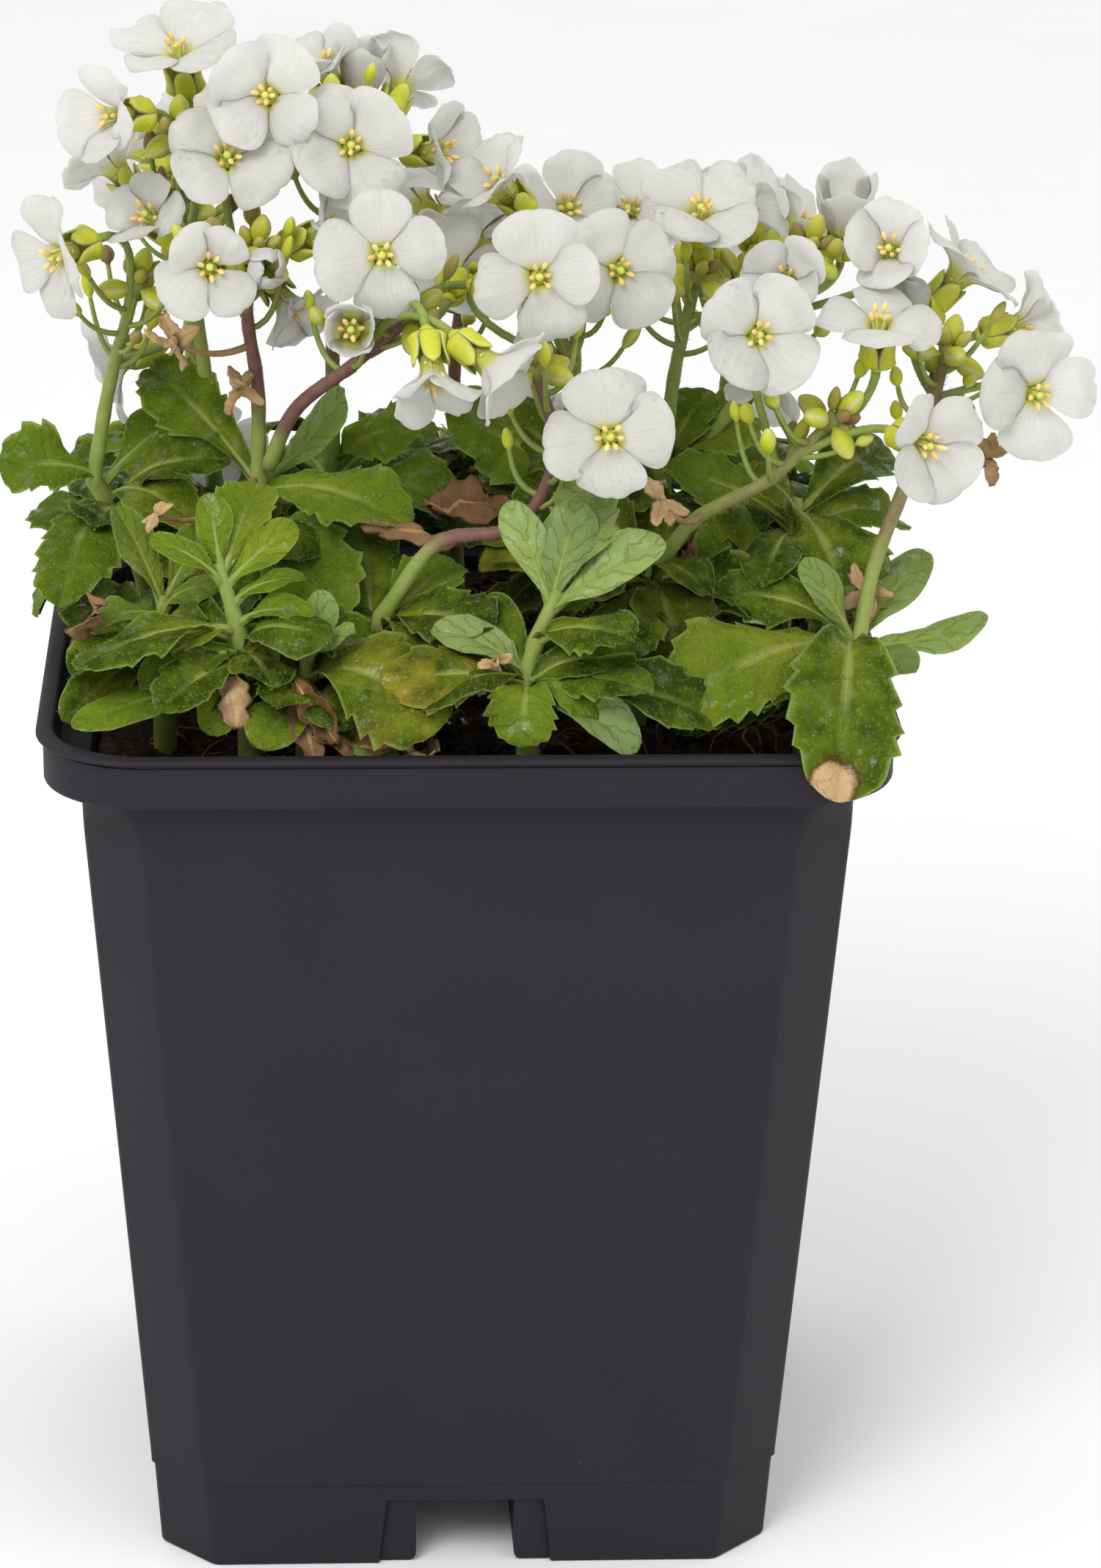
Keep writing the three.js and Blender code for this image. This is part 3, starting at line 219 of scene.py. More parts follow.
@dataclass
class Draft:
    """One piece in the making: its points, faces, and what its materials read at each point."""

    points: list[Array] = field(default_factory=list)
    faces: list[Array] = field(default_factory=list)
    skins: list[Array] = field(default_factory=list)
    marks: list[Array] = field(default_factory=list)
    count: int = 0

    def add(self, points: Array, faces: list[Array], mark: Array, skin: int = 0) -> None:
        """Put one closed shape into the piece.

        Args:
            points: Its points, n by 3, in millimetres.
            faces: Its triangles and quads, as arrays of point numbers.
            mark: For each point the place across and along, then three tone values, n by 5 or 5.
            skin: Number of the material on it.
        """
        self.points.append(points)
        self.marks.append(np.broadcast_to(mark, (len(points), 5)))
        for block in faces:
            self.faces.append(block + self.count)
            self.skins.append(np.full(len(block), skin, dtype=np.int32))
        self.count += len(points)

    def sheet(self, upper: Array, lower: Array, tone: tuple[float, float, float], skin: int = 0) -> None:
        """Close two grids that share their rim into a thin blade.

        Args:
            upper: Grid of points, rows by columns by 3; its face looks along rows x columns.
            lower: Grid under it, of which the rim is not used.
            tone: Three tone values of the blade.
            skin: Number of the material on it.
        """
        rows, columns = upper.shape[:2]
        top = np.arange(rows * columns).reshape(rows, columns)
        bottom = top.copy()
        inner = np.arange((rows - 2) * (columns - 2)).reshape(rows - 2, columns - 2)
        bottom[1:-1, 1:-1] = rows * columns + inner
        points = np.vstack([upper.reshape(-1, 3), lower[1:-1, 1:-1].reshape(-1, 3)])
        along, across = np.meshgrid(np.linspace(0, 1, rows), np.linspace(0, 1, columns), indexing="ij")
        place = np.stack([across, along], axis=-1)
        place = np.vstack([place.reshape(-1, 2), place[1:-1, 1:-1].reshape(-1, 2)])
        mark = np.hstack([place, np.tile(tone, (len(points), 1))])
        self.add(points, [quads(top), quads(bottom)[:, ::-1]], mark, skin)

    def tube(
        self, path: Array, radii: Array, sides: int, tone: Array | tuple[float, float, float], skin: int = 0,
        across: Array | None = None,
    ) -> None:
        """Carry a ring of points along a path and close both ends to a point.

        Args:
            path: Stations, n by 3.
            radii: Radius at each station, n, or n by sides.
            sides: Points in each ring.
            tone: Three tone values, for the whole tube or for each station.
            skin: Number of the material on it.
            across: Direction that the first point of each ring keeps to.
        """
        rows = len(path)
        tangents = unit(np.gradient(path, axis=0))
        side = steady(tangents) if across is None else across
        right = unit(side - tangents * np.sum(side * tangents, axis=1, keepdims=True))
        up = np.cross(tangents, right)
        angle = np.linspace(0, 2 * np.pi, sides, endpoint=False)
        spread = np.broadcast_to(np.asarray(radii).reshape(rows, -1), (rows, sides))[..., None]
        ring = right[:, None] * np.cos(angle)[None, :, None] + up[:, None] * np.sin(angle)[None, :, None]
        body = (path[:, None] + ring * spread).reshape(-1, 3)
        points = np.vstack([body, path[0], path[-1]])
        numbers = np.arange(rows * sides).reshape(rows, sides)
        wrapped = np.hstack([numbers, numbers[:, :1]])
        first, last = rows * sides, rows * sides + 1
        caps = np.vstack([
            np.stack([np.full(sides, first), wrapped[0, 1:], wrapped[0, :-1]], axis=1),
            np.stack([np.full(sides, last), wrapped[-1, :-1], wrapped[-1, 1:]], axis=1),
        ])
        mark = np.zeros((rows, sides, 5))
        mark[..., 0] = np.abs(np.linspace(-1, 1, sides, endpoint=False))
        mark[..., 1] = np.linspace(0, 1, rows)[:, None]
        mark[..., 2:] = np.broadcast_to(np.asarray(tone, dtype=float).reshape(-1, 1, 3), (rows, sides, 3))
        mark = np.vstack([mark.reshape(-1, 5), mark[0, 0], mark[-1, 0]])
        self.add(points, [quads(wrapped)[:, ::-1], caps], mark, skin)

    def strew(self, shape: Array, faces: Array, frames: Array, places: Array, tone: Array) -> None:
        """Repeat one small closed shape many times.

        Args:
            shape: Its points, n by 3.
            faces: Its triangles.
            frames: A 3 by 3 matrix for each copy, whose columns carry the shape's own axes.
            places: Middle of each copy.
            tone: Three tone values for each copy.
        """
        copies, size = len(places), len(shape)
        points = np.einsum("cij,nj->cni", frames, shape) + places[:, None]
        numbers = faces[None] + (np.arange(copies) * size)[:, None, None]
        mark = np.zeros((copies, size, 5))
        mark[..., 2:] = tone[:, None]
        self.add(points.reshape(-1, 3), [numbers.reshape(-1, faces.shape[1])], mark.reshape(-1, 5))

    def build(
        self, name: str, skins: tuple["Skin", ...], replaced: tuple[str, ...] = (), slot: str = "",
        sharp: float = 0.0,
    ) -> bpy.types.Object:
        """Make the Blender object of the piece and let it ride.

        Args:
            name: Name of the piece.
            skins: Its finishes, in the order of their numbers.
            replaced: CAD nodes that it stands for.
            slot: Material slot of the part that its finishes belong to, if any; not used.
            sharp: Degrees between faces from which an edge is shaded sharp; none is at 0.

        Returns:
            The object, at the origin, with its place in its mesh.
        """
        mesh = bpy.data.meshes.new(name)
        sizes = np.concatenate([np.full(len(block), block.shape[1]) for block in self.faces])
        corners = np.concatenate([block.ravel() for block in self.faces]).astype(np.int32)
        mesh.vertices.add(self.count)
        mesh.vertices.foreach_set("co", (np.vstack(self.points) * MM).astype(np.float32).ravel())
        mesh.loops.add(len(corners))
        mesh.loops.foreach_set("vertex_index", corners)
        mesh.polygons.add(len(sizes))
        starts = np.concatenate([[0], np.cumsum(sizes)[:-1]]).astype(np.int32)
        mesh.polygons.foreach_set("loop_start", starts)
        mesh.polygons.foreach_set("material_index", np.concatenate(self.skins))
        mesh.update(calc_edges=True)
        mesh.shade_smooth()
        marks = np.vstack(self.marks).astype(np.float32)
        layer = mesh.uv_layers.new(name="blade")
        layer.data.foreach_set("uv", marks[corners, :2].ravel())
        tone = mesh.attributes.new("tone", "FLOAT_COLOR", "POINT")
        colours = np.hstack([marks[:, 2:], np.ones((len(marks), 1))]).astype(np.float32)
        tone.data.foreach_set("color", colours.ravel())
        for skin in skins:
            mesh.materials.append(skin.material())
        if sharp:
            mesh.set_sharp_from_angle(angle=math.radians(sharp))
        piece = bpy.data.objects.new(name, mesh)
        bpy.context.scene.collection.objects.link(piece)
        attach(piece, "root")
        if replaced:
            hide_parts(*replaced)
        return piece


def quads(numbers: Array) -> Array:
    """List the quads of a grid of point numbers.

    Args:
        numbers: Grid of point numbers, rows by columns.

    Returns:
        Four numbers for each cell, turning from the rows towards the columns.
    """
    around = [numbers[:-1, :-1], numbers[1:, :-1], numbers[1:, 1:], numbers[:-1, 1:]]
    return np.stack([corner.ravel() for corner in around], axis=1)


def steady(tangents: Array) -> Array:
    """Choose a direction that stands across a bending path all along it.

    Args:
        tangents: Directions of the path.

    Returns:
        The turn from the first direction to the last, or any direction across a straight path.
    """
    turn = np.cross(tangents[0], tangents[-1])
    if np.linalg.norm(turn) > 0.05:
        return unit(turn)
    return unit(np.cross(tangents[0], np.array([0.31, 0.95, 0.0]) if abs(tangents[0][2]) > 0.9 else UPWARDS))


# Materials


BLEND = {"data_type": "RGBA"}
SMOOTH = {"interpolation_type": "SMOOTHSTEP"}


def linear(code: str) -> Rgba:
    """Turn an sRGB hex value to linear colour.

    Args:
        code: Six hex digits.

    Returns:
        Red, green, blue and full opacity, each ((c + 0.055) / 1.055) to the 2.4 above the toe.
    """
    parts = np.array([int(code[k : k + 2], 16) / 255 for k in (0, 2, 4)])
    value = np.where(parts <= 0.04045, parts / 12.92, ((parts + 0.055) / 1.055) ** 2.4)
    return float(value[0]), float(value[1]), float(value[2]), 1.0


def add(tree: Tree, kind: str, inputs: dict[int | str, Any], out: int = 0, **settings: Any) -> Any:
    """Add a shader node with its settings and links.

    Args:
        tree: Tree that it goes into.
        kind: Blender's name for the node, without the words that all shader nodes start with.
        inputs: For each input a value, six hex digits for a colour, or the output that feeds it.
        out: Number of the output that is wanted.
        settings: Properties of the node; stops are a ramp's places and colours.

    Returns:
        The output that is wanted.
    """
    node = tree.nodes.new("ShaderNode" + kind)
    for number, (place, code) in enumerate(settings.pop("stops", ())):
        ramp = node.color_ramp.elements
        stop = ramp[number] if number < 2 else ramp.new(place)
        stop.position = place
        stop.color = linear(code)
    for key, value in settings.items():
        setattr(node, key, value)
    for key, value in inputs.items():
        if isinstance(value, bpy.types.NodeSocket):
            tree.links.new(value, node.inputs[key])
        else:
            node.inputs[key].default_value = linear(value) if isinstance(value, str) else value
    return node.outputs[out]


@dataclass(frozen=True)
class Finish:
    """What every finish shares: its name, its gloss, and how it reads its place."""

    name: str
    roughness: float = 0.5
    specular: float = 0.5
    depth: float = 0.0
    share: float = 0.2
    glow: tuple[float, float, float] = (1.0, 1.0, 1.0)

    def make(self) -> bpy.types.Material:
        """Build the material: its plain values on the shader's own sockets, then its colour and its relief.

        Returns:
            The finished material.
        """
        material = bpy.data.materials.new(self.name)
        material.use_nodes = True
        tree = material.node_tree
        shader = tree.nodes["Principled BSDF"]
        shader.inputs["Roughness"].default_value = self.roughness
        shader.inputs["Specular IOR Level"].default_value = self.specular
        if self.depth > 0:
            shader.inputs["Subsurface Weight"].default_value = self.share
            shader.inputs["Subsurface Radius"].default_value = self.glow
            shader.inputs["Subsurface Scale"].default_value = self.depth * MM
        place = add(tree, "TexCoord", {}, 3)
        colour, relief = self.surface(tree, place)
        tree.links.new(colour, shader.inputs["Base Color"])
        tree.links.new(relief, shader.inputs["Normal"])
        self.dress(shader)
        return material

    def surface(self, tree: Tree, place: Any) -> tuple[Any, Any]:
        """Lay out the colour and the relief.

        Args:
            tree: Tree of the material.
            place: Output with the place on the piece, in metres.

        Returns:
            The colour's output and the relief's output.
        """
        raise NotImplementedError

    def dress(self, shader: bpy.types.Node) -> None:
        """Set what else the shader needs; most finishes need nothing more."""

    @staticmethod
    def blade(tree: Tree) -> tuple[Any, Any]:
        """Read the place on a blade.

        Args:
            tree: Tree of the material.

        Returns:
            The distance from the middle line, 0 to 1 at the edge, and the share of the length.
        """
        spot = add(tree, "SeparateXYZ", {0: add(tree, "UVMap", {}, uv_map="blade")})
        centred = add(tree, "Math", {0: spot, 1: 0.5}, operation="SUBTRACT")
        away = add(tree, "Math", {0: centred}, operation="ABSOLUTE")
        beside = add(tree, "Math", {0: away, 1: 2.0}, operation="MULTIPLY")
        return beside, spot.node.outputs[1]

    @staticmethod
    def tones(tree: Tree) -> Any:
        """Read the three tone values of the point, as red, green and blue outputs."""
        return add(tree, "SeparateColor", {0: add(tree, "Attribute", {}, attribute_name="tone")}).node.outputs


@dataclass(frozen=True)
class MouldedPot(Finish):
    """Injection moulded black polypropylene: matt dark grey, finely grained, with some dust of peat."""

    name: str = "moulded_polypropylene"
    roughness: float = 0.6
    specular: float = 0.2
    grain: float = 0.3
    dust: float = 1.1

    def surface(self, tree: Tree, place: Any) -> tuple[Any, Any]:
        """Cloud the grey, dust it in patches and grain it, each by a noise of its own size.

        Args:
            tree: Tree of the material.
            place: Output with the place on the piece.

        Returns:
            The outputs of colour and relief.
        """
        cloud = add(tree, "TexNoise", {0: place, "Scale": 1 / (18 * MM), "Detail": 4})
        plain = add(tree, "Mix", {0: cloud, 6: "1F1C21", 7: "252228"}, 2, **BLEND)
        crumb = add(tree, "TexNoise", {0: place, "Scale": 1 / (self.dust * MM), "Detail": 6})
        patch = add(tree, "TexNoise", {0: place, "Scale": 1 / (30 * MM), "Detail": 2})
        dusty = add(tree, "MapRange", {0: crumb, 1: 0.72, 2: 0.8}, **SMOOTH)
        lying = add(tree, "MapRange", {0: patch, 1: 0.45, 2: 0.7}, **SMOOTH)
        share = add(tree, "Math", {0: dusty, 1: lying}, operation="MULTIPLY")
        colour = add(tree, "Mix", {0: share, 6: plain, 7: "523B2C"}, 2, **BLEND)
        grain = add(tree, "TexNoise", {0: place, "Scale": 1 / (self.grain * MM), "Detail": 2})
        return colour, add(tree, "Bump", {"Height": grain, "Distance": 0.03 * MM})


@dataclass(frozen=True)
class Peat(Finish):
    """Fibrous sphagnum peat, damp: nearly black brown crumbs with lighter dry flecks and no gloss."""

    name: str = "sphagnum_peat"
    roughness: float = 0.95
    specular: float = 0.2

    def surface(self, tree: Tree, place: Any) -> tuple[Any, Any]:
        """Colour the crumbs by a fine noise from black to dry brown, and roughen them by a finer one.

        Args:
            tree: Tree of the material.
            place: Output with the place on the piece.

        Returns:
            The outputs of colour and relief.
        """
        crumb = add(tree, "TexNoise", {0: place, "Scale": 1 / (0.9 * MM), "Detail": 8})
        stops = ((0.3, "120C09"), (0.5, "23180F"), (0.62, "3A2919"), (0.75, "5A4128"))
        colour = add(tree, "ValToRGB", {0: crumb}, stops=stops)
        fine = add(tree, "TexNoise", {0: place, "Scale": 1 / (0.4 * MM), "Detail": 6})
        return colour, add(tree, "Bump", {"Height": fine, "Distance": 0.25 * MM})


@dataclass(frozen=True)
class LeafBlade(Finish):
    """Living leaf: olive green skin, stippled with hair roots, with a pale midrib and faint side veins.

    Tone red runs from young grey-green to old dark green; its darkest end, given to the low undergrowth
    leaves, is partly their age and partly painted shade. Tone green yellows the blade, and tone blue shifts
    it from its neighbours. The burnt tip is straw, then brown, then green again from its middle out.
    """

    name: str = "stippled_leaf_skin"
    roughness: float = 0.5
    depth: float = 0.9
    glow: tuple[float, float, float] = (0.6, 1.0, 0.2)
    veins: float = 5.5
    stipple: float = 0.62
    burnt_tip: tuple[float, float, float] = (36.6, -48.8, 97.2)
    straw: float = 3.6
    border: float = 4.3
    green: float = 4.9

    def surface(self, tree: Tree, place: Any) -> tuple[Any, Any]:
        """Cloud the green, yellow it by tone and at its foot, and lay veins, midrib, stipple and rim on it.

        One leaf tip that hangs over the pot's front edge is dried to straw, with a brown border.

        Args:
            tree: Tree of the material.
            place: Output with the place on the piece.

        Returns:
            The outputs of colour and relief.
        """
        beside, along = self.blade(tree)
        tone = self.tones(tree)
        # The last stop is the darkest green; on the undergrowth leaves it is painted shade as well as age.
        stops = ((0.0, "8EA168"), (0.3, "61761A"), (0.65, "44550B"), (1.0, "1E2904"))
        green = add(tree, "ValToRGB", {0: tone[0]}, stops=stops)
        cloud = add(tree, "TexNoise", {0: place, "Scale": 1 / (3.2 * MM), "Detail": 5, "Roughness": 0.6})
        light = add(tree, "MapRange", {0: cloud, 1: 0.42, 2: 0.7, 4: 0.6})
        clouded = add(tree, "Mix", {0: light, 6: green, 7: "76891F"}, 2, **BLEND)
        shift = add(tree, "Math", {0: tone[2], 1: 0.4}, operation="MULTIPLY")
        plain = add(tree, "Mix", {0: shift, 6: clouded, 7: "23360A"}, 2, **BLEND)
        foot = add(tree, "MapRange", {0: along, 1: 0.0, 2: 0.62, 3: 0.6, 4: 0.0}, **SMOOTH)
        inner = add(tree, "MapRange", {0: beside, 1: 0.1, 2: 0.75, 3: 1.0, 4: 0.0}, **SMOOTH)
        bright = add(tree, "Math", {0: foot, 1: inner}, operation="MULTIPLY")
        warmed = add(tree, "Mix", {0: bright, 6: plain, 7: "8B962A"}, 2, **BLEND)
        broad = add(tree, "TexNoise", {0: place, "Scale": 1 / (5 * MM), "Detail": 4})
        patch = add(tree, "MapRange", {0: broad, 1: 0.38, 2: 0.62}, **SMOOTH)
        gold = add(tree, "Math", {0: tone[1], 1: patch}, operation="MULTIPLY")
        aged = add(tree, "Mix", {0: gold, 6: warmed, 7: "A5932A"}, 2, **BLEND)
        wave = add(tree, "Math", {0: cloud, 1: 0.5, 2: along}, operation="MULTIPLY_ADD")
        rise = add(tree, "Math", {0: wave, 1: self.veins}, operation="MULTIPLY")
        lean = add(tree, "Math", {0: beside, 1: 1.3}, operation="MULTIPLY")
        gap = add(tree, "Math", {0: rise, 1: lean}, operation="SUBTRACT")
        turn = add(tree, "Math", {0: gap}, operation="FRACT")
        away = add(tree, "Math", {0: turn, 1: 0.5}, operation="SUBTRACT")
        off = add(tree, "Math", {0: away}, operation="ABSOLUTE")
        side = add(tree, "MapRange", {0: off, 1: 0.01, 2: 0.1, 3: 0.3, 4: 0.0}, **SMOOTH)
        veined = add(tree, "Mix", {0: side, 6: aged, 7: "7D8935"}, 2, **BLEND)
        dots = add(tree, "TexVoronoi", {"Vector": place, "Scale": 1 / (self.stipple * MM)})
        dot = add(tree, "MapRange", {0: dots, 1: 0.1, 2: 0.3, 3: 0.3, 4: 0.0}, **SMOOTH)
        dotted = add(tree, "Mix", {0: dot, 6: veined, 7: "8A9660"}, 2, **BLEND)
        fade = add(tree, "MapRange", {0: along, 1: 0.2, 2: 0.75, 3: 0.8, 4: 0.08}, **SMOOTH)
        rib = add(tree, "MapRange", {0: beside, 1: 0.03, 2: 0.15, 3: 1.0, 4: 0.0}, **SMOOTH)
        pale = add(tree, "Math", {0: fade, 1: rib}, operation="MULTIPLY")
        ribbed = add(tree, "Mix", {0: pale, 6: dotted, 7: "98A052"}, 2, **BLEND)
        rim = add(tree, "MapRange", {0: beside, 1: 0.88, 2: 1.0, 3: 0.0, 4: 0.45}, **SMOOTH)
        rimmed = add(tree, "Mix", {0: rim, 6: ribbed, 7: "8A9A4E"}, 2, **BLEND)
        tip = tuple(part * MM for part in self.burnt_tip)
        far = add(tree, "VectorMath", {0: place, 1: tip}, 1, operation="DISTANCE")
        ragged = add(tree, "Math", {0: cloud, 1: 3.0 * MM, 2: far}, operation="MULTIPLY_ADD")
        ring = {0: ragged, 1: self.border * MM, 2: self.green * MM, 3: 0.85, 4: 0.0}
        scorched = add(tree, "MapRange", ring)
        brown = add(tree, "Mix", {0: scorched, 6: rimmed, 7: "4E3418"}, 2, **BLEND)
        dried = add(tree, "MapRange", {0: ragged, 1: self.straw * MM, 2: self.border * MM, 3: 0.9, 4: 0.0})
        colour = add(tree, "Mix", {0: dried, 6: brown, 7: "C2A379"}, 2, **BLEND)
        sunk = add(tree, "Math", {0: side, 1: -1.0}, operation="MULTIPLY")
        groove = add(tree, "Bump", {"Height": sunk, "Distance": 0.35 * MM})
        pit = add(tree, "TexNoise", {0: place, "Scale": 1 / (0.5 * MM), "Detail": 3})
        return colour, add(tree, "Bump", {"Height": pit, "Distance": 0.16 * MM, "Normal": groove})

    def dress(self, shader: bpy.types.Node) -> None:
        """Make the skin moist in patches: smooth and glossy where a noise is high, nearly dull elsewhere.

        Args:
            shader: Shader of the material.
        """
        tree = shader.id_data
        place = add(tree, "TexCoord", {}, 3)
        moist = add(tree, "TexNoise", {0: place, "Scale": 1 / (1.7 * MM), "Detail": 5})
        rough = add(tree, "MapRange", {0: moist, 1: 0.48, 2: 0.62, 3: 0.55, 4: 0.2})
        gloss = add(tree, "MapRange", {0: moist, 1: 0.56, 2: 0.68, 3: 0.04, 4: 0.5})
        tree.links.new(rough, shader.inputs["Roughness"])
        tree.links.new(gloss, shader.inputs["Specular IOR Level"])


@dataclass(frozen=True)
class StemSkin(Finish):
    """Stem rind: pale green that turns purple-brown where tone red is high, lightly streaked."""

    name: str = "herb_stem_rind"
    roughness: float = 0.5
    specular: float = 0.25
    depth: float = 0.8
    glow: tuple[float, float, float] = (0.7, 1.0, 0.3)

    def surface(self, tree: Tree, place: Any) -> tuple[Any, Any]:
        """Mottle a green and a purple rind, and let the tone and a noise choose between them.

        Args:
            tree: Tree of the material.
            place: Output with the place on the piece.

        Returns:
            The outputs of colour and relief.
        """
        spots = add(tree, "TexNoise", {0: place, "Scale": 1 / (1.3 * MM), "Detail": 4})
        green = add(tree, "Mix", {0: spots, 6: "74852F", 7: "98A45C"}, 2, **BLEND)
        purple = add(tree, "Mix", {0: spots, 6: "5E3C38", 7: "8A665C"}, 2, **BLEND)
        cloud = add(tree, "TexNoise", {0: place, "Scale": 1 / (2 * MM), "Detail": 4})
        lean = add(tree, "Math", {0: cloud, 1: 0.35, 2: self.tones(tree)[0]}, operation="MULTIPLY_ADD")
        share = add(tree, "MapRange", {0: lean, 1: 0.4, 2: 0.85}, **SMOOTH)
        colour = add(tree, "Mix", {0: share, 6: green, 7: purple}, 2, **BLEND)
        fine = add(tree, "TexNoise", {0: place, "Scale": 1 / (0.35 * MM), "Detail": 3})
        return colour, add(tree, "Bump", {"Height": fine, "Distance": 0.06 * MM})


@dataclass(frozen=True)
class SepalSkin(Finish):
    """Sepals and buds: yellow-green with pale thin margins, and brown-purple where tone red is high."""

    name: str = "sepal_skin"
    roughness: float = 0.45
    specular: float = 0.25
    depth: float = 0.8
    glow: tuple[float, float, float] = (0.8, 1.0, 0.25)

    def surface(self, tree: Tree, place: Any) -> tuple[Any, Any]:
        """Pale the tip by the share of the length and the margins by the distance from the middle.

        Args:
            tree: Tree of the material.
            place: Output with the place on the piece.

        Returns:
            The outputs of colour and relief.
        """
        beside, along = self.blade(tree)
        spots = add(tree, "TexNoise", {0: place, "Scale": 1 / (0.9 * MM), "Detail": 4})
        body = add(tree, "Mix", {0: spots, 6: "ABB31F", 7: "CBCD42"}, 2, **BLEND)
        tip = add(tree, "MapRange", {0: along, 1: 0.6, 2: 1.0}, **SMOOTH)
        tipped = add(tree, "Mix", {0: tip, 6: body, 7: "CCCB62"}, 2, **BLEND)
        rim = add(tree, "MapRange", {0: beside, 1: 0.72, 2: 0.97}, **SMOOTH)
        edged = add(tree, "Mix", {0: rim, 6: tipped, 7: "C9C98C"}, 2, **BLEND)
        dark = add(tree, "Mix", {0: spots, 6: "6A4A3C", 7: "8E7146"}, 2, **BLEND)
        colour = add(tree, "Mix", {0: self.tones(tree)[0], 6: edged, 7: dark}, 2, **BLEND)
        fine = add(tree, "TexNoise", {0: place, "Scale": 1 / (0.3 * MM), "Detail": 3})
        return colour, add(tree, "Bump", {"Height": fine, "Distance": 0.05 * MM})


@dataclass(frozen=True)
class PetalSkin(Finish):
    """White petal: thin matt tissue, greenish yellow at its foot, with faint sunken veins that fan out."""

    name: str = "white_petal_tissue"
    roughness: float = 0.62
    specular: float = 0.25
    depth: float = 1.6
    share: float = 0.6
    glow: tuple[float, float, float] = (1.0, 1.0, 0.97)
    fan: float = 5.5

    def surface(self, tree: Tree, place: Any) -> tuple[Any, Any]:
        """Lay a vein wherever the distance from the middle, waved a little, comes round to a half.

        Args:
            tree: Tree of the material.
            place: Output with the place on the piece.

        Returns:
            The outputs of colour and relief.
        """
        beside, along = self.blade(tree)
        wave = add(tree, "TexNoise", {0: place, "Scale": 1 / (1.6 * MM), "Detail": 3})
        waved = add(tree, "Math", {0: wave, 1: 0.16, 2: beside}, operation="MULTIPLY_ADD")
        fanned = add(tree, "Math", {0: waved, 1: self.fan}, operation="MULTIPLY")
        turn = add(tree, "Math", {0: fanned}, operation="FRACT")
        away = add(tree, "Math", {0: turn, 1: 0.5}, operation="SUBTRACT")
        off = add(tree, "Math", {0: away}, operation="ABSOLUTE")
        line = add(tree, "MapRange", {0: off, 1: 0.02, 2: 0.2, 3: 1.0, 4: 0.0}, **SMOOTH)
        fade = add(tree, "MapRange", {0: along, 1: 0.5, 2: 1.0, 3: 1.0, 4: 0.0}, **SMOOTH)
        vein = add(tree, "Math", {0: line, 1: fade}, operation="MULTIPLY")
        cloud = add(tree, "TexNoise", {0: place, "Scale": 1 / (3 * MM), "Detail": 3})
        white = add(tree, "Mix", {0: cloud, 6: "BEBDB7", 7: "CCCBC7"}, 2, **BLEND)
        share = add(tree, "Math", {0: vein, 1: 0.08}, operation="MULTIPLY")
        lined = add(tree, "Mix", {0: share, 6: white, 7: "9C9D90"}, 2, **BLEND)
        foot = add(tree, "MapRange", {0: along, 1: 0.24, 2: 0.42, 3: 1.0, 4: 0.0}, **SMOOTH)
        colour = add(tree, "Mix", {0: foot, 6: lined, 7: "C3C650"}, 2, **BLEND)
        hollow = add(tree, "Math", {0: 1.0, 1: vein}, operation="SUBTRACT")
        groove = add(tree, "Bump", {"Height": hollow, "Distance": 0.018 * MM})
        cell = add(tree, "TexNoise", {0: place, "Scale": 1 / (0.25 * MM), "Detail": 2})
        return colour, add(tree, "Bump", {"Height": cell, "Distance": 0.015 * MM, "Normal": groove})


@dataclass(frozen=True)
class PlainTissue(Finish):
    """Small part of one tissue or stuff, mottled between two near colours that tone red leads between."""

    light: str = "E0B030"
    dark: str = "C98F1E"
    mottle: float = 0.3

    def surface(self, tree: Tree, place: Any) -> tuple[Any, Any]:
        """Mottle the two colours by a fine noise, and by the tone.

        Args:
            tree: Tree of the material.
            place: Output with the place on the piece.

        Returns:
            The outputs of colour and relief.
        """
        spots = add(tree, "TexNoise", {0: place, "Scale": 1 / (self.mottle * MM), "Detail": 3})
        lean = add(tree, "Math", {0: spots, 1: self.tones(tree)[0]}, operation="ADD", use_clamp=True)
        colour = add(tree, "Mix", {0: lean, 6: self.dark, 7: self.light}, 2, **BLEND)
        return colour, add(tree, "Bump", {"Height": spots, "Distance": 0.05 * MM})


@dataclass(frozen=True)
class DeadLeaf(Finish):
    """Dried leaf: brittle brown skin, from rust where tone red is low to pale straw where it is high."""

    name: str = "dried_leaf"
    roughness: float = 0.75
    specular: float = 0.25

    def surface(self, tree: Tree, place: Any) -> tuple[Any, Any]:
        """Mottle a rust and a straw colour, let the tone choose, and pale the midrib.

        Args:
            tree: Tree of the material.
            place: Output with the place on the piece.

        Returns:
            The outputs of colour and relief.
        """
        beside = self.blade(tree)[0]
        spots = add(tree, "TexNoise", {0: place, "Scale": 1 / (1.5 * MM), "Detail": 5})
        rust = add(tree, "Mix", {0: spots, 6: "2C190D", 7: "7A4C28"}, 2, **BLEND)
        straw = add(tree, "Mix", {0: spots, 6: "94703F", 7: "DCC092"}, 2, **BLEND)
        base = add(tree, "Mix", {0: self.tones(tree)[0], 6: rust, 7: straw}, 2, **BLEND)
        rib = add(tree, "MapRange", {0: beside, 1: 0.03, 2: 0.12, 3: 1.0, 4: 0.0}, **SMOOTH)
        colour = add(tree, "Mix", {0: rib, 6: base, 7: "A5845A"}, 2, **BLEND)
        fine = add(tree, "TexNoise", {0: place, "Scale": 1 / (0.7 * MM), "Detail": 5})
        return colour, add(tree, "Bump", {"Height": fine, "Distance": 0.2 * MM})


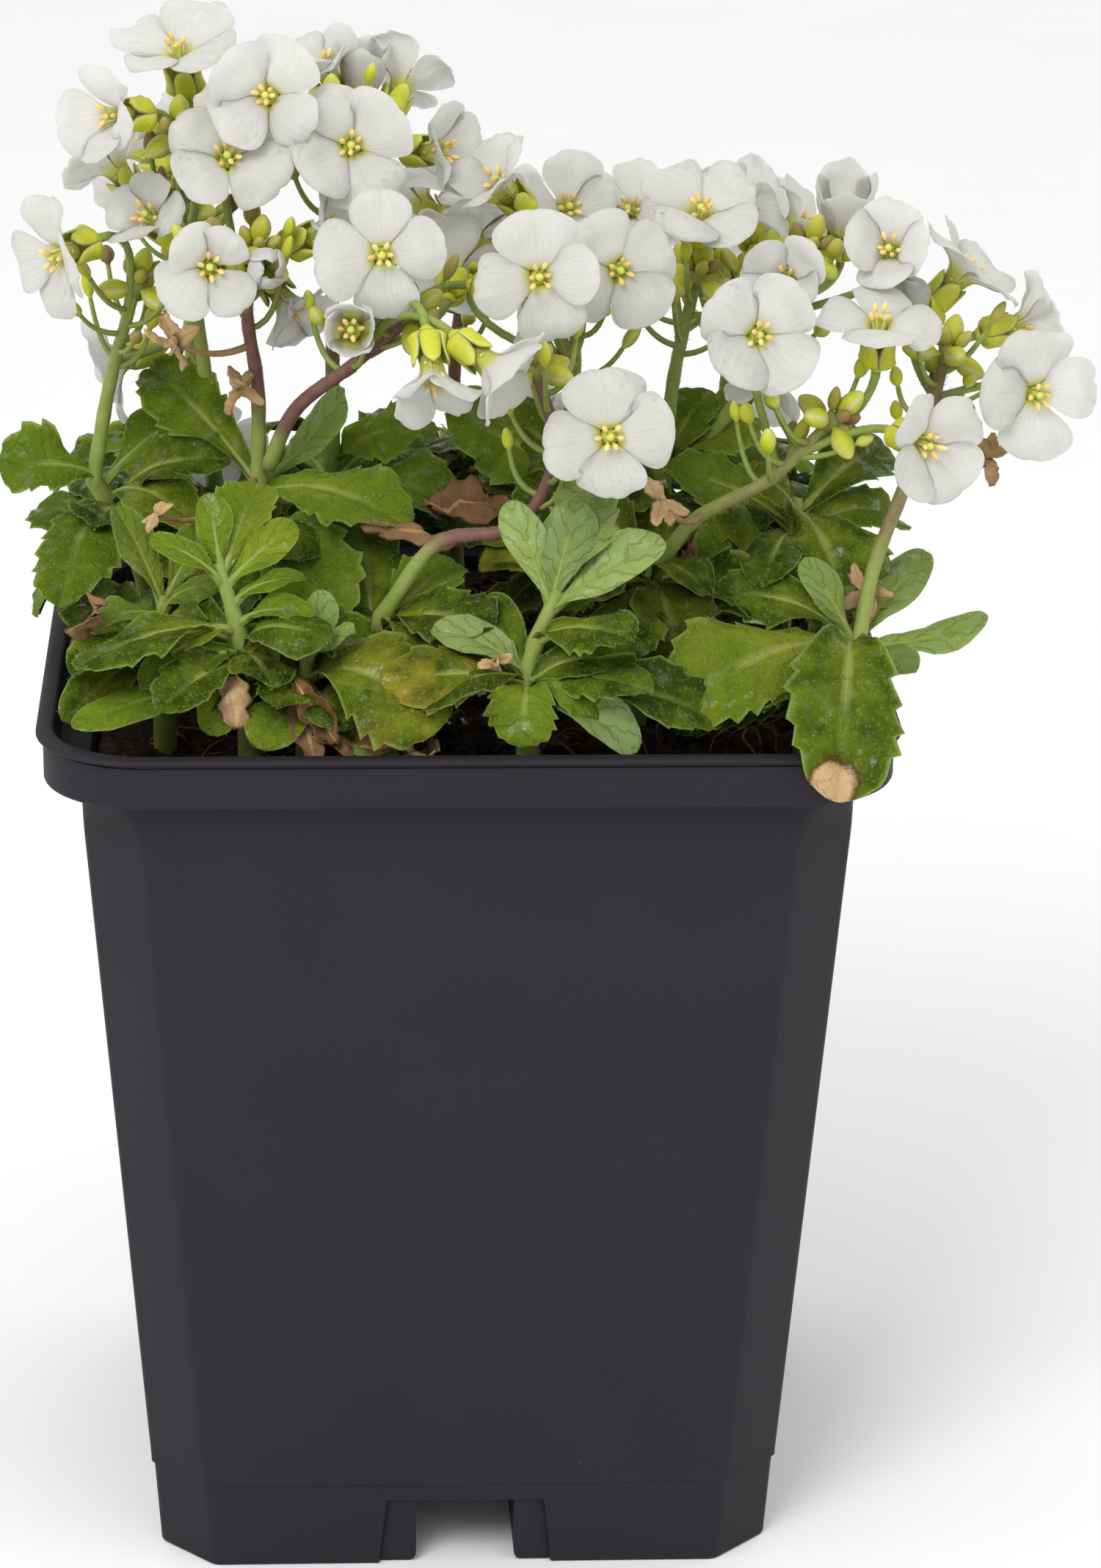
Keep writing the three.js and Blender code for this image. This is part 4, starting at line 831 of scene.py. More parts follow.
class Skin(Enum):
    """The finishes of the part, by the tissue or stuff that each one is."""

    POT = MouldedPot()
    PEAT = Peat()
    FIBRE = PlainTissue("peat_fibre", 0.8, 0.3, light="8A6840", dark="24180F", mottle=2.0)
    PERLITE = PlainTissue("expanded_perlite", 0.9, 0.3, light="F4F1EA", dark="B9B0A2", mottle=0.5)
    LEAF = LeafBlade()
    STEM = StemSkin()
    SEPAL = SepalSkin()
    PETAL = PetalSkin()
    ANTHER = PlainTissue("pollen_anther", 0.8, 0.3, light="F0D78C", dark="D6A64C")
    THREAD = PlainTissue("stamen_thread", 0.5, 0.4, light="E0E2A0", dark="C8CE70")
    PISTIL = PlainTissue("pistil_tissue", 0.5, 0.4, light="D4D768", dark="AEB83E")
    HAIR = PlainTissue("plant_hair", 0.5, 0.4, light="B4BE86", dark="8E9C5A", mottle=0.8)
    DEAD = DeadLeaf()
    FLOOR = PlainTissue("matt_backdrop_paper", 0.9, 0.1, light="F6F6F6", dark="F2F2F2", mottle=40.0)

    def material(self) -> bpy.types.Material:
        """Give the material, made once."""
        return bpy.data.materials.get(self.value.name) or self.value.make()


FLOWER_SKINS = (Skin.PETAL, Skin.THREAD, Skin.ANTHER, Skin.PISTIL)
SHARP = 50.0


# The plants: crowns, leaves and flowering stems, as in the CAD model


Row = tuple[float, ...]


@dataclass(frozen=True)
class Stem:
    """One flowering stem: its path, the number of outer buds at its end, its blooms and its opening buds."""

    path: tuple[Row, ...]
    buds: int
    blooms: tuple[Row, ...] = ()
    opening: tuple[Row, ...] = ()


@dataclass(frozen=True)
class Plant:
    """One crown: its path up from the soil, its leaves and its flowering stems.

    A leaf is its place on the crown, the tip, width and rise of its arch, and the way its face looks. A
    bloom is its throat, the way it looks, its span, how far it is cupped, and its turn on its stalk.
    """

    name: str
    path: tuple[Row, ...]
    leaves: tuple[Row, ...]
    stems: tuple[Stem, ...] = ()
    purple: float = 0.25
    young: float = 0.12


PLANTS: tuple[Plant, ...] = (
    Plant(
        name="left_rear", path=((-33, 6, 84), (-35, 4, 103), (-40, 0, 117)), purple=0.1,
        leaves=(
            (1, -50, -3, 117, 9, 2, 0, 50), (0.97, -30, 9, 120, 6, 1.5, 0, 50),
            (0.85, -25, -6, 119, 8, 3, 0, 60), (0.75, -43, -20, 107, 10, 5, -20, 50),
            (0.6, -46, -10, 103, 7, 3, -70, 30), (0.6, -47, 12, 108, 8, 3, -90, 50),
            (0.9, -28, -12, 113, 8, 3, 0, 55),
        ),
        stems=(
            Stem(path=((-40, 0, 115), (-38, 0, 126), (-35, -2, 137)), buds=3, blooms=(
                (-42.3, -12, 143.3, -50, -10, 14, 15, 10), (-36.8, 9, 126.2, -75, -15, 14, 28, 20),
            )),
        ),
    ),
    Plant(
        name="left_middle", path=((-20, -4, 84), (-21, -6, 104), (-22, -8, 119)), purple=0.75,
        leaves=(
            (0.98, -34, 5.5, 126, 9, 2, 0, 50), (0.95, -6, -18, 115, 12, 3, 0, 60),
            (1, -13, -6, 127, 5, -1.5, -30, 40), (0.85, -14, -27, 107, 12, 2, 0, 45),
            (0.7, -9, 2, 112, 8, 3, 60, 60), (0.65, -24, -20, 107, 9, 3, 0, 55),
        ),
        stems=(
            Stem(path=((-22, -8, 118), (-22, -9, 128), (-23, -11, 137), (-22, -12, 143)), buds=4,
                 opening=((-21, -19, 143.6, 10, 10, 5, 75, 0),), blooms=(
                (-25, -10, 153, 5, 30, 15, 8, 45), (-33, -8, 146, -40, 35, 11, 30, 0),
                (-26.8, -19, 143.6, 5, 15, 13, 30, 45), (-19, -8, 137, 40, -35, 12, 45, 0),
                (-15.2, -10, 145, 60, 30, 12, 35, 20),
            )),
            Stem(path=((-21, -9, 119), (-18, -11, 126), (-12, -15, 132), (-6, -18, 138)), buds=4,
                 opening=((-12.1, -26, 138.8, -5, 15, 7, 65, 0),), blooms=(
                (-9, -23, 146, 0, 10, 14.5, 18, 8), (-4, -32, 136, 10, -50, 13, 50, 45),
                (1.6, -32.2, 136.9, 55, -30, 14, 35, 40), (5, -13.8, 139.7, 80, -5, 13, 30, 45),
                (-1, -4, 139, 170, 20, 14, 20, 0),
            )),
        ),
    ),
    Plant(
        name="left_front", path=((-32, -20, 84), (-32, -22, 100), (-32, -22, 109)), purple=0.3, young=0.25,
        leaves=(
            (1, -37, -20, 118, 5, 1, 20, 40), (1, -27, -17, 116, 4, 1, 0, 40),
            (0.95, -26, -25, 111, 3.5, 1.5, 0, 60), (0.9, -39, -29, 108, 4.5, 1.5, 0, 60),
            (0.8, -28, -34, 104, 7, 4, 0, 60), (0.7, -42, -36, 100, 6, 2, 0, 50),
            (0.7, -24, -30, 101, 7, 2, 0, 55),
        ),
    ),
    Plant(
        name="front_left", path=((-23, -31, 84),
        (-23, -31, 100), (-24, -31, 108), (-26, -30, 115)), purple=0.1, young=0.36,
        leaves=(
            (0.96, -33, -31, 118, 3, 1.5, 0, 50), (1, -27, -28, 122, 4, 0.5, 0, 30),
            (1, -22, -24, 122, 7, 1, 0, 40), (0.95, -18, -29, 119, 4.5, 1, 0, 40),
            (0.85, -17, -32, 114, 3, 1.5, 0, 60), (0.75, -16, -35, 111, 3.5, 1.5, 0, 60),
            (0.72, -31, -35, 107, 3, 1.5, 0, 60), (0.6, -34, -37, 104, 5.5, 2, 0, 50),
            (0.5, -41, -39, 100.4, 4.5, 1, 0, 50), (0.55, -27, -38, 99, 5, 2, 0, 40),
        ),
    ),
    Plant(
        name="front_middle", path=((-17, -31, 84), (-17, -32, 99), (-17, -33, 106)), purple=0.1,
        leaves=(
            (1, -19, -35, 112, 3, 0.5, 0, 40), (1, -12, -37, 110, 3.5, 1, 0, 60),
            (1, -15, -33, 113, 4, 0.5, 0, 40), (0.85, -3, -41, 101, 14, 4, 0, 60),
            (0.6, -22, -40.5, 98.5, 6, 1.5, 0, 60), (0.45, -8, -41.5, 96.5, 5, 2, 0, 60),
        ),
    ),
    Plant(
        name="centre_front", path=((-10, -22, 84), (-10, -24, 100), (-9, -26, 110)), purple=0.85,
        leaves=(
            (0.85, -3, -33, 104, 7, 3, 20, 60), (0.8, -1, -21, 112, 8, 2, 20, 60),
            (0.6, -9, -14, 108, 8, 2, 0, 60), (0.7, -11, -12, 114, 9, 1, 0, 40),
            (0.6, 3, -24, 104, 8, 2, 0, 55),
        ),
        stems=(
            Stem(path=((-9, -26, 108), (-3, -26, 116), (5, -27, 118), (9, -25, 125), (7, -25, 134)), buds=4,
                 blooms=(
                (14, -35, 130, 0, 15, 14.5, 12, 0),
            )),
        ),
    ),
    Plant(
        name="front_right_of_middle", path=((6, -33, 84),
        (6, -35, 100), (6, -34, 105), (9, -33, 113)), purple=0.15, young=0,
        leaves=(
            (1, 4, -31, 122, 4.5, 0.8, 0, 30), (1, 11, -31, 122, 6, 0.5, 0, 30),
            (0.97, 14, -26, 124, 8, 1, 0, 40), (0.97, 20, -32, 118, 5.5, 1, 0, 50),
            (0.6, 14, -39, 101, 6, 3, 0, 60), (0.55, 5, -42, 99, 8, 2.5, 0, 60),
            (0.5, 17, -41, 98, 5, 2, 0, 60), (0.55, 26, -38, 100, 9, 3, 0, 60),
            (0.6, 15, -28, 103, 12, 3, 0, 60), (0.6, 1, -29, 110, 6, 2, 0, 50),
            (0.62, -4, -34, 109, 5, 2, 0, 60), (0.5, 1.5, -24.5, 101, 8, 2, 0, 55),
        ),
    ),
    Plant(
        name="right_front", path=((35, -23, 84), (37, -24.5, 97), (41, -26, 106)), purple=0.5,
        leaves=(
            (0.95, 21, -37, 101, 14, 4, 0, 60), (1, 26, -23, 109, 8, 3, 0, 60),
            (0.95, 37, -48, 95, 13, 7, 0, 60), (1, 35, -26, 114, 4, 1, 0, 50),
            (0.98, 55, -24, 107, 4, -1.5, 0, 60), (0.85, 47, -30, 103, 5, 1.5, 20, 60),
            (0.97, 44, -13, 111, 5, 1, 20, 40), (0.9, 50, -11, 110, 5, 2, 60, 60),
        ),
        stems=(
            Stem(path=((41, -26, 104), (43, -22, 112), (46, -19, 119), (49, -15, 126), (51, -12, 132)),
                 buds=4, opening=((47.9, -8, 137.2, -60, 50, 5, 75, 0),), blooms=(
                (53, -5, 139, 100, 45, 15, 25, 45), (60, -3, 133, 100, 10, 13, 35, 0),
                (59.7, -18, 129.7, 20, 5, 15, 18, 0),
            )),
        ),
    ),
    Plant(
        name="right_middle", path=((34, -6, 84), (35, -7, 104), (36, -8, 115)), purple=0.3,
        leaves=(
            (1, 41, -21, 105, 13, 4, 0, 50), (0.97, 47, 6, 117, 9, 2, 20, 60),
            (0.85, 48, 0, 110, 8, 3, 60, 60), (1, 31, -11, 119, 6, 1, 0, 50),
            (0.9, 22, -4, 117, 9, 2, 0, 60), (0.8, 26, -16, 109, 11, 2, 0, 60),
            (0.8, 40, 8, 110, 8, 3, 120, 60), (0.6, 28, -20, 101, 9, 3, 0, 55),
            (0.7, 45, -9, 104, 7, 3, 30, 55),
        ),
    ),
    Plant(
        name="middle_right", path=((18, -14, 84), (19, -17, 104), (20, -18, 112)), purple=0.4,
        leaves=(
            (0.85, 22, -27, 103, 10, 3, 0, 60), (0.8, 10, -19, 108, 8, 2, 0, 60),
            (0.7, 29, -13, 106, 8, 2, 40, 60), (0.95, 11, -10, 118, 9, 1, 0, 40),
        ),
        stems=(
            Stem(path=((20, -18, 110), (24, -19, 116), (32, -20, 121), (38, -20, 127)), buds=4, blooms=(
                (43, -19, 137, 0, 75, 15, 5, 0), (46.6, -30, 127.8, 30, 0, 14, 28, 45),
                (29.9, -23, 137.4, 5, 15, 14.5, 15, 40),
            )),
        ),
    ),
    Plant(
        name="middle", path=((10, 0, 84), (12, -1, 106), (13, -2, 117)), purple=0.3,
        leaves=(
            (0.97, -2, -9, 125, 11, 1, 0, 50), (1, 4, -4, 124, 10, 1, 0, 50),
            (0.8, 2, -14, 112, 9, 2, 0, 60), (0.9, 18, -11, 117, 7, 2, 0, 60),
            (0.7, -2, 1, 110, 10, 3, -30, 50), (0.75, 6, -14, 115, 10, 2, 0, 45),
        ),
        stems=(
            Stem(path=((13, -2, 115), (12, -5, 126), (12, -6, 137)), buds=4, blooms=(
                (7.1, -25, 144.1, 0, 15, 15, 10, 5), (1, 0, 142, 170, 50, 14, 18, 0),
                (4, -6, 149, -60, 45, 13, 40, 45), (11.1, 2, 144.6, 20, 30, 13, 30, 0),
                (15.8, -15, 142.3, 10, 10, 14, 18, 30), (8, 3, 120, 180, 20, 11, 30, 0),
            )),
        ),
    ),
    Plant(
        name="right_rear", path=((22, 6, 84), (22, 2, 106), (22, 0, 118)), purple=0.25,
        leaves=(
            (0.97, 33, 5, 121, 9, 2, 0, 60), (1, 27, 4, 124, 7, 1, 0, 50),
            (0.85, 12, 9, 117, 8, 2, -60, 60), (0.8, 22, -13, 108, 11, 3, 0, 50),
            (0.75, 32, -9, 111, 10, 3, 20, 50),
        ),
        stems=(
            Stem(path=((22, 0, 116), (23, -2, 128), (25, -3, 138)), buds=4, blooms=(
                (18.5, 5, 143.6, -30, 30, 12, 25, 0), (25, -6, 146, 0, 50, 15, 28, 45),
                (31, 8, 143, 110, 20, 13, 28, 0),
            )),
            Stem(path=((22, 1, 114), (29, 1, 122), (34, 0, 131), (37, 0, 140)), buds=4,
                 opening=((41.5, 5, 142.5, 0, 70, 11, 60, 0),), blooms=(
                (34, -10, 140, -20, 15, 12, 40, 45), (45, -10, 143, -20, 30, 13, 40, 0),
                (33, -9, 129, -20, -50, 12, 45, 0),
            )),
        ),
    ),
    Plant(
        name="tall_left", path=((-24, 10, 84), (-26, 6, 104), (-27, 4, 116)), purple=0.2,
        leaves=(
            (0.7, -37, 16, 106, 9, 2, -40, 60), (0.8, -15, 14, 111, 8, 2, 40, 60),
            (0.8, -22.5, -7.5, 110.5, 10, 3, 0, 55), (0.8, -35.5, -5.5, 111, 9, 3, -20, 55),
        ),
        stems=(
            Stem(path=((-27, 4, 114), (-28, 2, 128), (-30, -2, 145), (-30, -4, 154)), buds=4, blooms=(
                (-30, -2, 162, -30, 70, 15, 32, 45), (-36.4, -10, 157.5, -50, 5, 13.5, 32, 10),
                (-37, 2, 149, -120, 45, 13, 28, 0), (-20.6, -9, 159.4, -15, 15, 14, 22, 50),
            )),
            Stem(path=((-26, 6, 108), (-27, 13, 110), (-27, 16, 114)), buds=0, blooms=(
                (-26.8, 11, 116.2, -5, 5, 11.5, 15, 10),
            )),
        ),
    ),
    Plant(
        name="tall_middle", path=((-12, 8, 84), (-13, 6, 106), (-14, 4, 117)), purple=0.7,
        leaves=(
            (0.9, -4, 16, 117, 9, 2, 40, 60), (0.85, -19, 20, 113, 8, 2, -40, 60),
            (0.97, -4, 1, 121, 8, 2, 0, 60), (0.8, -1, -6, 114, 11, 3, 0, 50),
            (0.75, -15, -10, 106, 10, 3, 0, 50),
        ),
        stems=(
            Stem(path=((-14, 4, 115), (-14, 2, 130), (-14, 0, 146), (-14, 0, 155)), buds=4,
                 opening=((-10.8, 7, 157.2, 30, 80, 8, 62, 0),), blooms=(
                (-14.4, 5.2, 158.8, -40, 60, 11, 50, 0), (-6.4, 8, 156.7, 150, 40, 13, 32, 0),
                (-12, -9, 154, 0, 20, 15, 22, 30), (-3, -2, 152, 50, 10, 13, 33, 0),
            )),
        ),
    ),
    Plant(
        name="back_left", path=((-28, 27, 84), (-29, 27, 102), (-30, 26, 112)), purple=0.2,
        leaves=(
            (0.8, -46, 29, 105, 9, 4, -90, 60), (0.75, -40, 42, 104, 9, 4, -140, 60),
            (0.75, -25, 45, 103, 10, 4, 180, 60), (0.9, -17, 30, 112, 8, 2, 120, 60),
            (1, -30, 38, 117, 6, 1, 180, 40), (0.8, -20, 15, 107, 9, 3, 0, 50),
            (0.8, -38, 13, 110, 9, 3, -20, 50),
        ),
        stems=(
            Stem(path=((-30, 26, 110), (-30, 26, 126), (-31, 26, 139)), buds=3, blooms=(
                (-35, 23.5, 146.1, -110, 30, 14, 18, 90), (-27.9, 29.3, 146, 165, 30, 14, 18, 20),
                (-27.6, 22.3, 148.6, 20, 70, 14, 22, 5), (-34.5, 30.9, 140.2, -160, 0, 14, 18, 25),
            )),
        ),
    ),
    Plant(
        name="back_middle", path=((0, 27, 84), (0, 28, 102), (0, 27, 111)), purple=0.6,
        leaves=(
            (0.75, -10, 42, 103, 9, 4, -160, 60), (0.75, 4, 45, 102, 9, 4, 180, 60),
            (0.8, 14, 38, 105, 8, 3, 130, 60), (0.9, -11, 26, 113, 8, 2, -90, 60),
            (1, 9, 24, 116, 6, 1, 90, 50), (0.9, 3, 12, 114, 11, 3, 0, 50),
            (0.85, -9, 14, 113, 10, 3, -20, 50), (0.8, 12, 15, 112, 9, 3, 20, 50),
        ),
        stems=(
            Stem(path=((0, 27, 109), (0, 27, 121), (1, 26, 132)), buds=3, blooms=(
                (-3.9, 27.1, 139.2, -130, 30, 14, 18, 85), (4.2, 31.2, 138.4, 165, 20, 14, 14, 80),
                (-0.1, 21.5, 142.2, 0, 75, 14, 22, 10), (6.8, 24, 136.8, 100, 15, 14, 22, 5),
            )),
        ),
    ),
    Plant(
        name="back_right", path=((28, 27, 84), (29, 27, 102), (30, 26, 111)), purple=0.3,
        leaves=(
            (0.75, 44, 34, 104, 9, 4, 110, 60), (0.75, 32, 44, 103, 9, 4, 180, 60),
            (0.8, 19, 40, 105, 8, 3, -150, 60), (0.9, 43, 20, 112, 8, 2, 90, 60),
            (1, 36, 32, 117, 6, 1, 140, 50), (0.9, 24, 12, 114, 10, 3, 0, 50),
            (0.85, 37, 12, 113, 9, 3, 20, 50),
        ),
        stems=(
            Stem(path=((30, 26, 109), (31, 26, 120), (32, 26, 129)), buds=3, blooms=(
                (26.7, 29.8, 137, -150, 25, 14, 18, 20), (35, 31.2, 135, 165, 15, 14, 14, 60),
                (38.1, 23.9, 137.4, 90, 40, 14, 22, 15), (29.6, 21.8, 140.3, -10, 75, 14, 22, 25),
            )),
        ),
    ),
)


# Flowers


@dataclass(frozen=True)
class BloomFrame:
    """Where a bloom sits and which way it looks."""

    throat: Array
    axis: Array
    right: Array
    up: Array
    reach: float
    cup: float
    spin: float

    @classmethod
    def of(cls, row: Row) -> "BloomFrame":
        """Read a bloom's row.

        Args:
            row: Throat, turn, tilt, span, cup and spin.

        Returns:
            The frame, whose right and up stand across its axis.
        """
        axis = facing(row[3], row[4])
        right = unit(np.cross(np.array([0.0, 1.0, 0.0]) if abs(axis[2]) > 0.9 else UPWARDS, axis))
        up = np.cross(axis, right)
        cup, spin = np.radians(row[6:8])
        return cls(np.array(row[:3], dtype=float), axis, right, up, row[5] / 2, float(cup), float(spin))

    def out(self, angle: Array | float) -> Array:
        """Give the directions away from the axis at angles from the spin."""
        turned = np.asarray(angle)[..., None] + self.spin
        return self.right * np.cos(turned) + self.up * np.sin(turned)

    def point(self, radius: Array | float, angle: Array | float, height: Array | float) -> Array:
        """Give the points at a radius, an angle and a height above the throat."""
        rise = np.asarray(height)[..., None] * self.axis
        return self.throat + self.out(angle) * np.asarray(radius)[..., None] + rise


@dataclass(frozen=True)
class Corolla:
    """Four petals on claws round six stamens and a pistil; the outline is in shares of the reach."""

    claw: float = 2.0
    throat_radius: float = 0.8
    rows: int = 16
    columns: int = 13
    outline: tuple[tuple[float, float], ...] = (
        (0.0, 0.19), (0.08, 0.25), (0.18, 0.35), (0.3, 0.45),
        (0.43, 0.52), (0.55, 0.545), (0.66, 0.52), (0.75, 0.44),
    )
    bulge: float = 0.17
    half_thickness: float = 0.07

    def petal(self, draft: Draft, frame: BloomFrame, quarter: int, draw: Draw) -> None:
        """Add one petal.

        Its rows run from the claw's foot to the far edge and its columns across. Its middle line leans at
        88 degrees in the claw, bends over at the throat to the cup's angle, arches, and curls back at the
        end; its points are the running sum of that direction. Each row bows outwards by the bulge times
        1 - |w| to the 2.2, which rounds the far edge. The blade is pinched at its notch, waved along its
        edges, folded a little lengthwise, crumpled, and lies over the next petal on one side.

        Args:
            draft: Piece that it goes into.
            frame: Where the bloom sits.
            quarter: Number of the petal, 0 to 3.
            draw: Seeded draw of this bloom.
        """
        reach = frame.reach * draw.uniform(0.86, 1.0)
        broad = draw.uniform(0.88, 1.16)
        knots = [(-self.claw, 0.12 * reach, 0.0), (-0.6, 0.16 * reach, 0.0)]
        knots += [(0.35 + x * (reach - 0.35), y * broad * reach, 0.0) for x, y in self.outline]
        share = np.linspace(0, 1, self.rows)
        edge = Curve.through(tuple(knots)).at(share)
        w = np.linspace(-1, 1, self.columns)[None, :]
        grow = ease(edge[:, :1], 0.0, 0.84 * reach)
        bow = self.bulge * reach * grow * (1 - np.abs(w) ** 2.2)
        notch = draw.uniform(0.0, 0.05) * reach * np.exp(-((w / 0.16) ** 2))
        notch = notch * ease(edge[:, :1], 0.5 * reach, 0.84 * reach)
        x = edge[:, :1] + bow - notch
        y = edge[:, 1:2] * w
        line = np.linspace(-self.claw, 1.1 * reach, 90)
        arch = math.radians(draw.uniform(8, 24))
        curl = math.radians(draw.uniform(-15, 60))
        tilt = frame.cup + math.radians(draw.uniform(-19, 17))
        limb = tilt + arch * (1 - 2 * np.clip(line / reach, 0, 1)) - curl * ease(line, 0.5 * reach, reach)
        angle = limb + (math.radians(88) - limb) * (1 - ease(line, -0.9, 1.3))
        step = line[1] - line[0]
        radius = self.throat_radius + np.concatenate([[0], np.cumsum(np.cos(angle[:-1]) * step)])
        height = np.concatenate([[0], np.cumsum(np.sin(angle[:-1]) * step)])
        height = height - np.interp(0.0, line, height) + 0.1
        turn = quarter * np.pi / 2 + draw.uniform(-0.2, 0.2)
        out = frame.out(turn)
        side = np.cross(frame.axis, out)
        lean = np.interp(x, line, angle)
        normal = np.cos(lean)[..., None] * frame.axis - np.sin(lean)[..., None] * out
        wide = ease(x, 0.1 * reach, 0.6 * reach)
        phase = draw.uniform(0, 2 * np.pi, 3)
        wave = 0.035 * reach * wide * np.abs(w) ** 2 * np.sin(4.2 * x / reach + 2.0 * w + phase[0])
        wave = wave + 0.02 * reach * wide * np.sin(7 * x / reach + 3.5 * w + phase[1])
        spot = np.stack([x, y, np.full_like(x, 9.0 * phase[2])], axis=-1)
        wave = wave + 0.42 * wide * ripple(spot, 3.8, 11) + 0.11 * wide * ripple(spot, 1.6, 12)
        lap = draw.uniform(0.02, 0.17) * y * wide - draw.uniform(-0.05, 0.07) * reach * wide * w**2
        crease = -0.02 * reach * wide * np.exp(-((w / 0.12) ** 2))
        lift = wave + lap + crease
        middle = frame.throat + out * np.interp(x, line, radius)[..., None] + side * y[..., None]
        middle = middle + frame.axis * np.interp(x, line, height)[..., None] + normal * lift[..., None]
        thick = self.half_thickness * (1 - 0.6 * w**2)[..., None]
        draft.sheet(middle + normal * thick, middle - normal * thick, (0.0, 0.0, draw.uniform()))

    def heart(self, draft: Draft, frame: BloomFrame, draw: Draw) -> None:
        """Add six leaning stamens with their anthers, and the pistil on its cushion of nectaries.

        Args:
            draft: Piece that they go into; threads, anthers and pistil are its materials 1, 2 and 3.
            frame: Where the bloom sits.
            draw: Seeded draw of this bloom.
        """
        rise = np.linspace(0, 1, 5)
        for number in range(6):
            angle = number * np.pi / 3 + draw.uniform(-0.2, 0.2)
            tall = (2.2 if number % 3 else 1.3) + draw.uniform(-0.3, 0.3)
            spread = 0.4 + (0.3 + 0.55 * draw.uniform()) * rise**2
            path = frame.point(spread, np.full(5, angle), -1.8 + (tall + 1.5) * rise)
            draft.tube(path, np.linspace(0.14, 0.1, 5), 5, (0.3, 0, 0), 1)
            aim = unit(path[-1] - path[-2] + frame.out(angle) * draw.uniform(0.0, 0.5))
            t = np.linspace(-1, 1, 6)
            body = path[-1] + aim * (t * 0.6)[:, None]
            plump = 0.29 * np.sqrt(np.clip(1.05 - t**2, 0.02, 1))
            draft.tube(body, plump, 6, (draw.uniform(0, 0.5), 0, 0), 2)
        t = np.array([-1.8, -1.3, -0.8, -0.55, -0.35, 0.4, 1.1, 1.45, 1.7])
        profile = np.array([0.5, 0.85, 1.0, 0.9, 0.42, 0.32, 0.3, 0.42, 0.2])
        draft.tube(frame.point(0.0, np.zeros(9), t), profile, 9, (0.3, 0, 0), 3)


@dataclass(frozen=True)
class RolledBloom:
    """Bloom that is only opening: four broad petals rolled round each other into a cup."""

    foot: float = -1.8
    shut: float = 70.0
    half_angle: float = 64.0
    half_thickness: float = 0.07

    def build(self, draft: Draft, frame: BloomFrame, draw: Draw) -> None:
        """Add the petals.

        Each is a patch of the cup, s up it and w across it. Its radius swells to the belly at half its height
        and draws in to the mouth, which is wide if the bloom has begun to open. It lies inside the next petal
        at one edge and outside the one before at the other, its edges curl out, and its top is rounded.

        Args:
            draft: Piece that they go into.
            frame: Where the bloom sits.
            draw: Seeded draw of this bloom.
        """
        belly = 1.15 + 0.34 * frame.reach
        mouth = belly * (0.42 if math.degrees(frame.cup) > self.shut else 1.12)
        s = np.linspace(0, 1, 14)[:, None]
        w = np.linspace(-1, 1, 13)[None, :]
        for quarter in range(4):
            tall = 3.1 + 0.85 * frame.reach + draw.uniform(-0.4, 0.3)
            girth = [0.8, 0.78 * belly, belly, (belly + mouth) / 2, mouth]
            swell = np.interp(s, [0, 0.25, 0.55, 0.8, 1], girth)
            lap = 0.22 * w + draw.uniform(0.0, 0.35) * s**2 * w**4 + 0.1 * (quarter % 2)
            height = self.foot + tall * s * (1 - 0.16 * w**2 * s + 0.03 * np.sin(5 * w + 9 * quarter))
            span = math.radians(self.half_angle) * np.interp(s, [0, 0.4, 0.85, 1], [0.7, 1.0, 0.92, 0.62])
            angle = quarter * np.pi / 2 + draw.uniform(-0.12, 0.12) + span * w
            spot = np.stack([3 * angle + 0 * s, height, 7.0 * quarter + 0 * height], axis=-1)
            radius = swell + lap + 0.14 * s * ripple(spot, 2.2, 13)
            outer = frame.point(radius + self.half_thickness, angle + 0 * s, height)
            inner = frame.point(radius - self.half_thickness, angle + 0 * s, height)
            draft.sheet(inner, outer, (0.0, 0.0, draw.uniform()))
        if mouth > belly:
            Corolla().heart(draft, frame, draw)


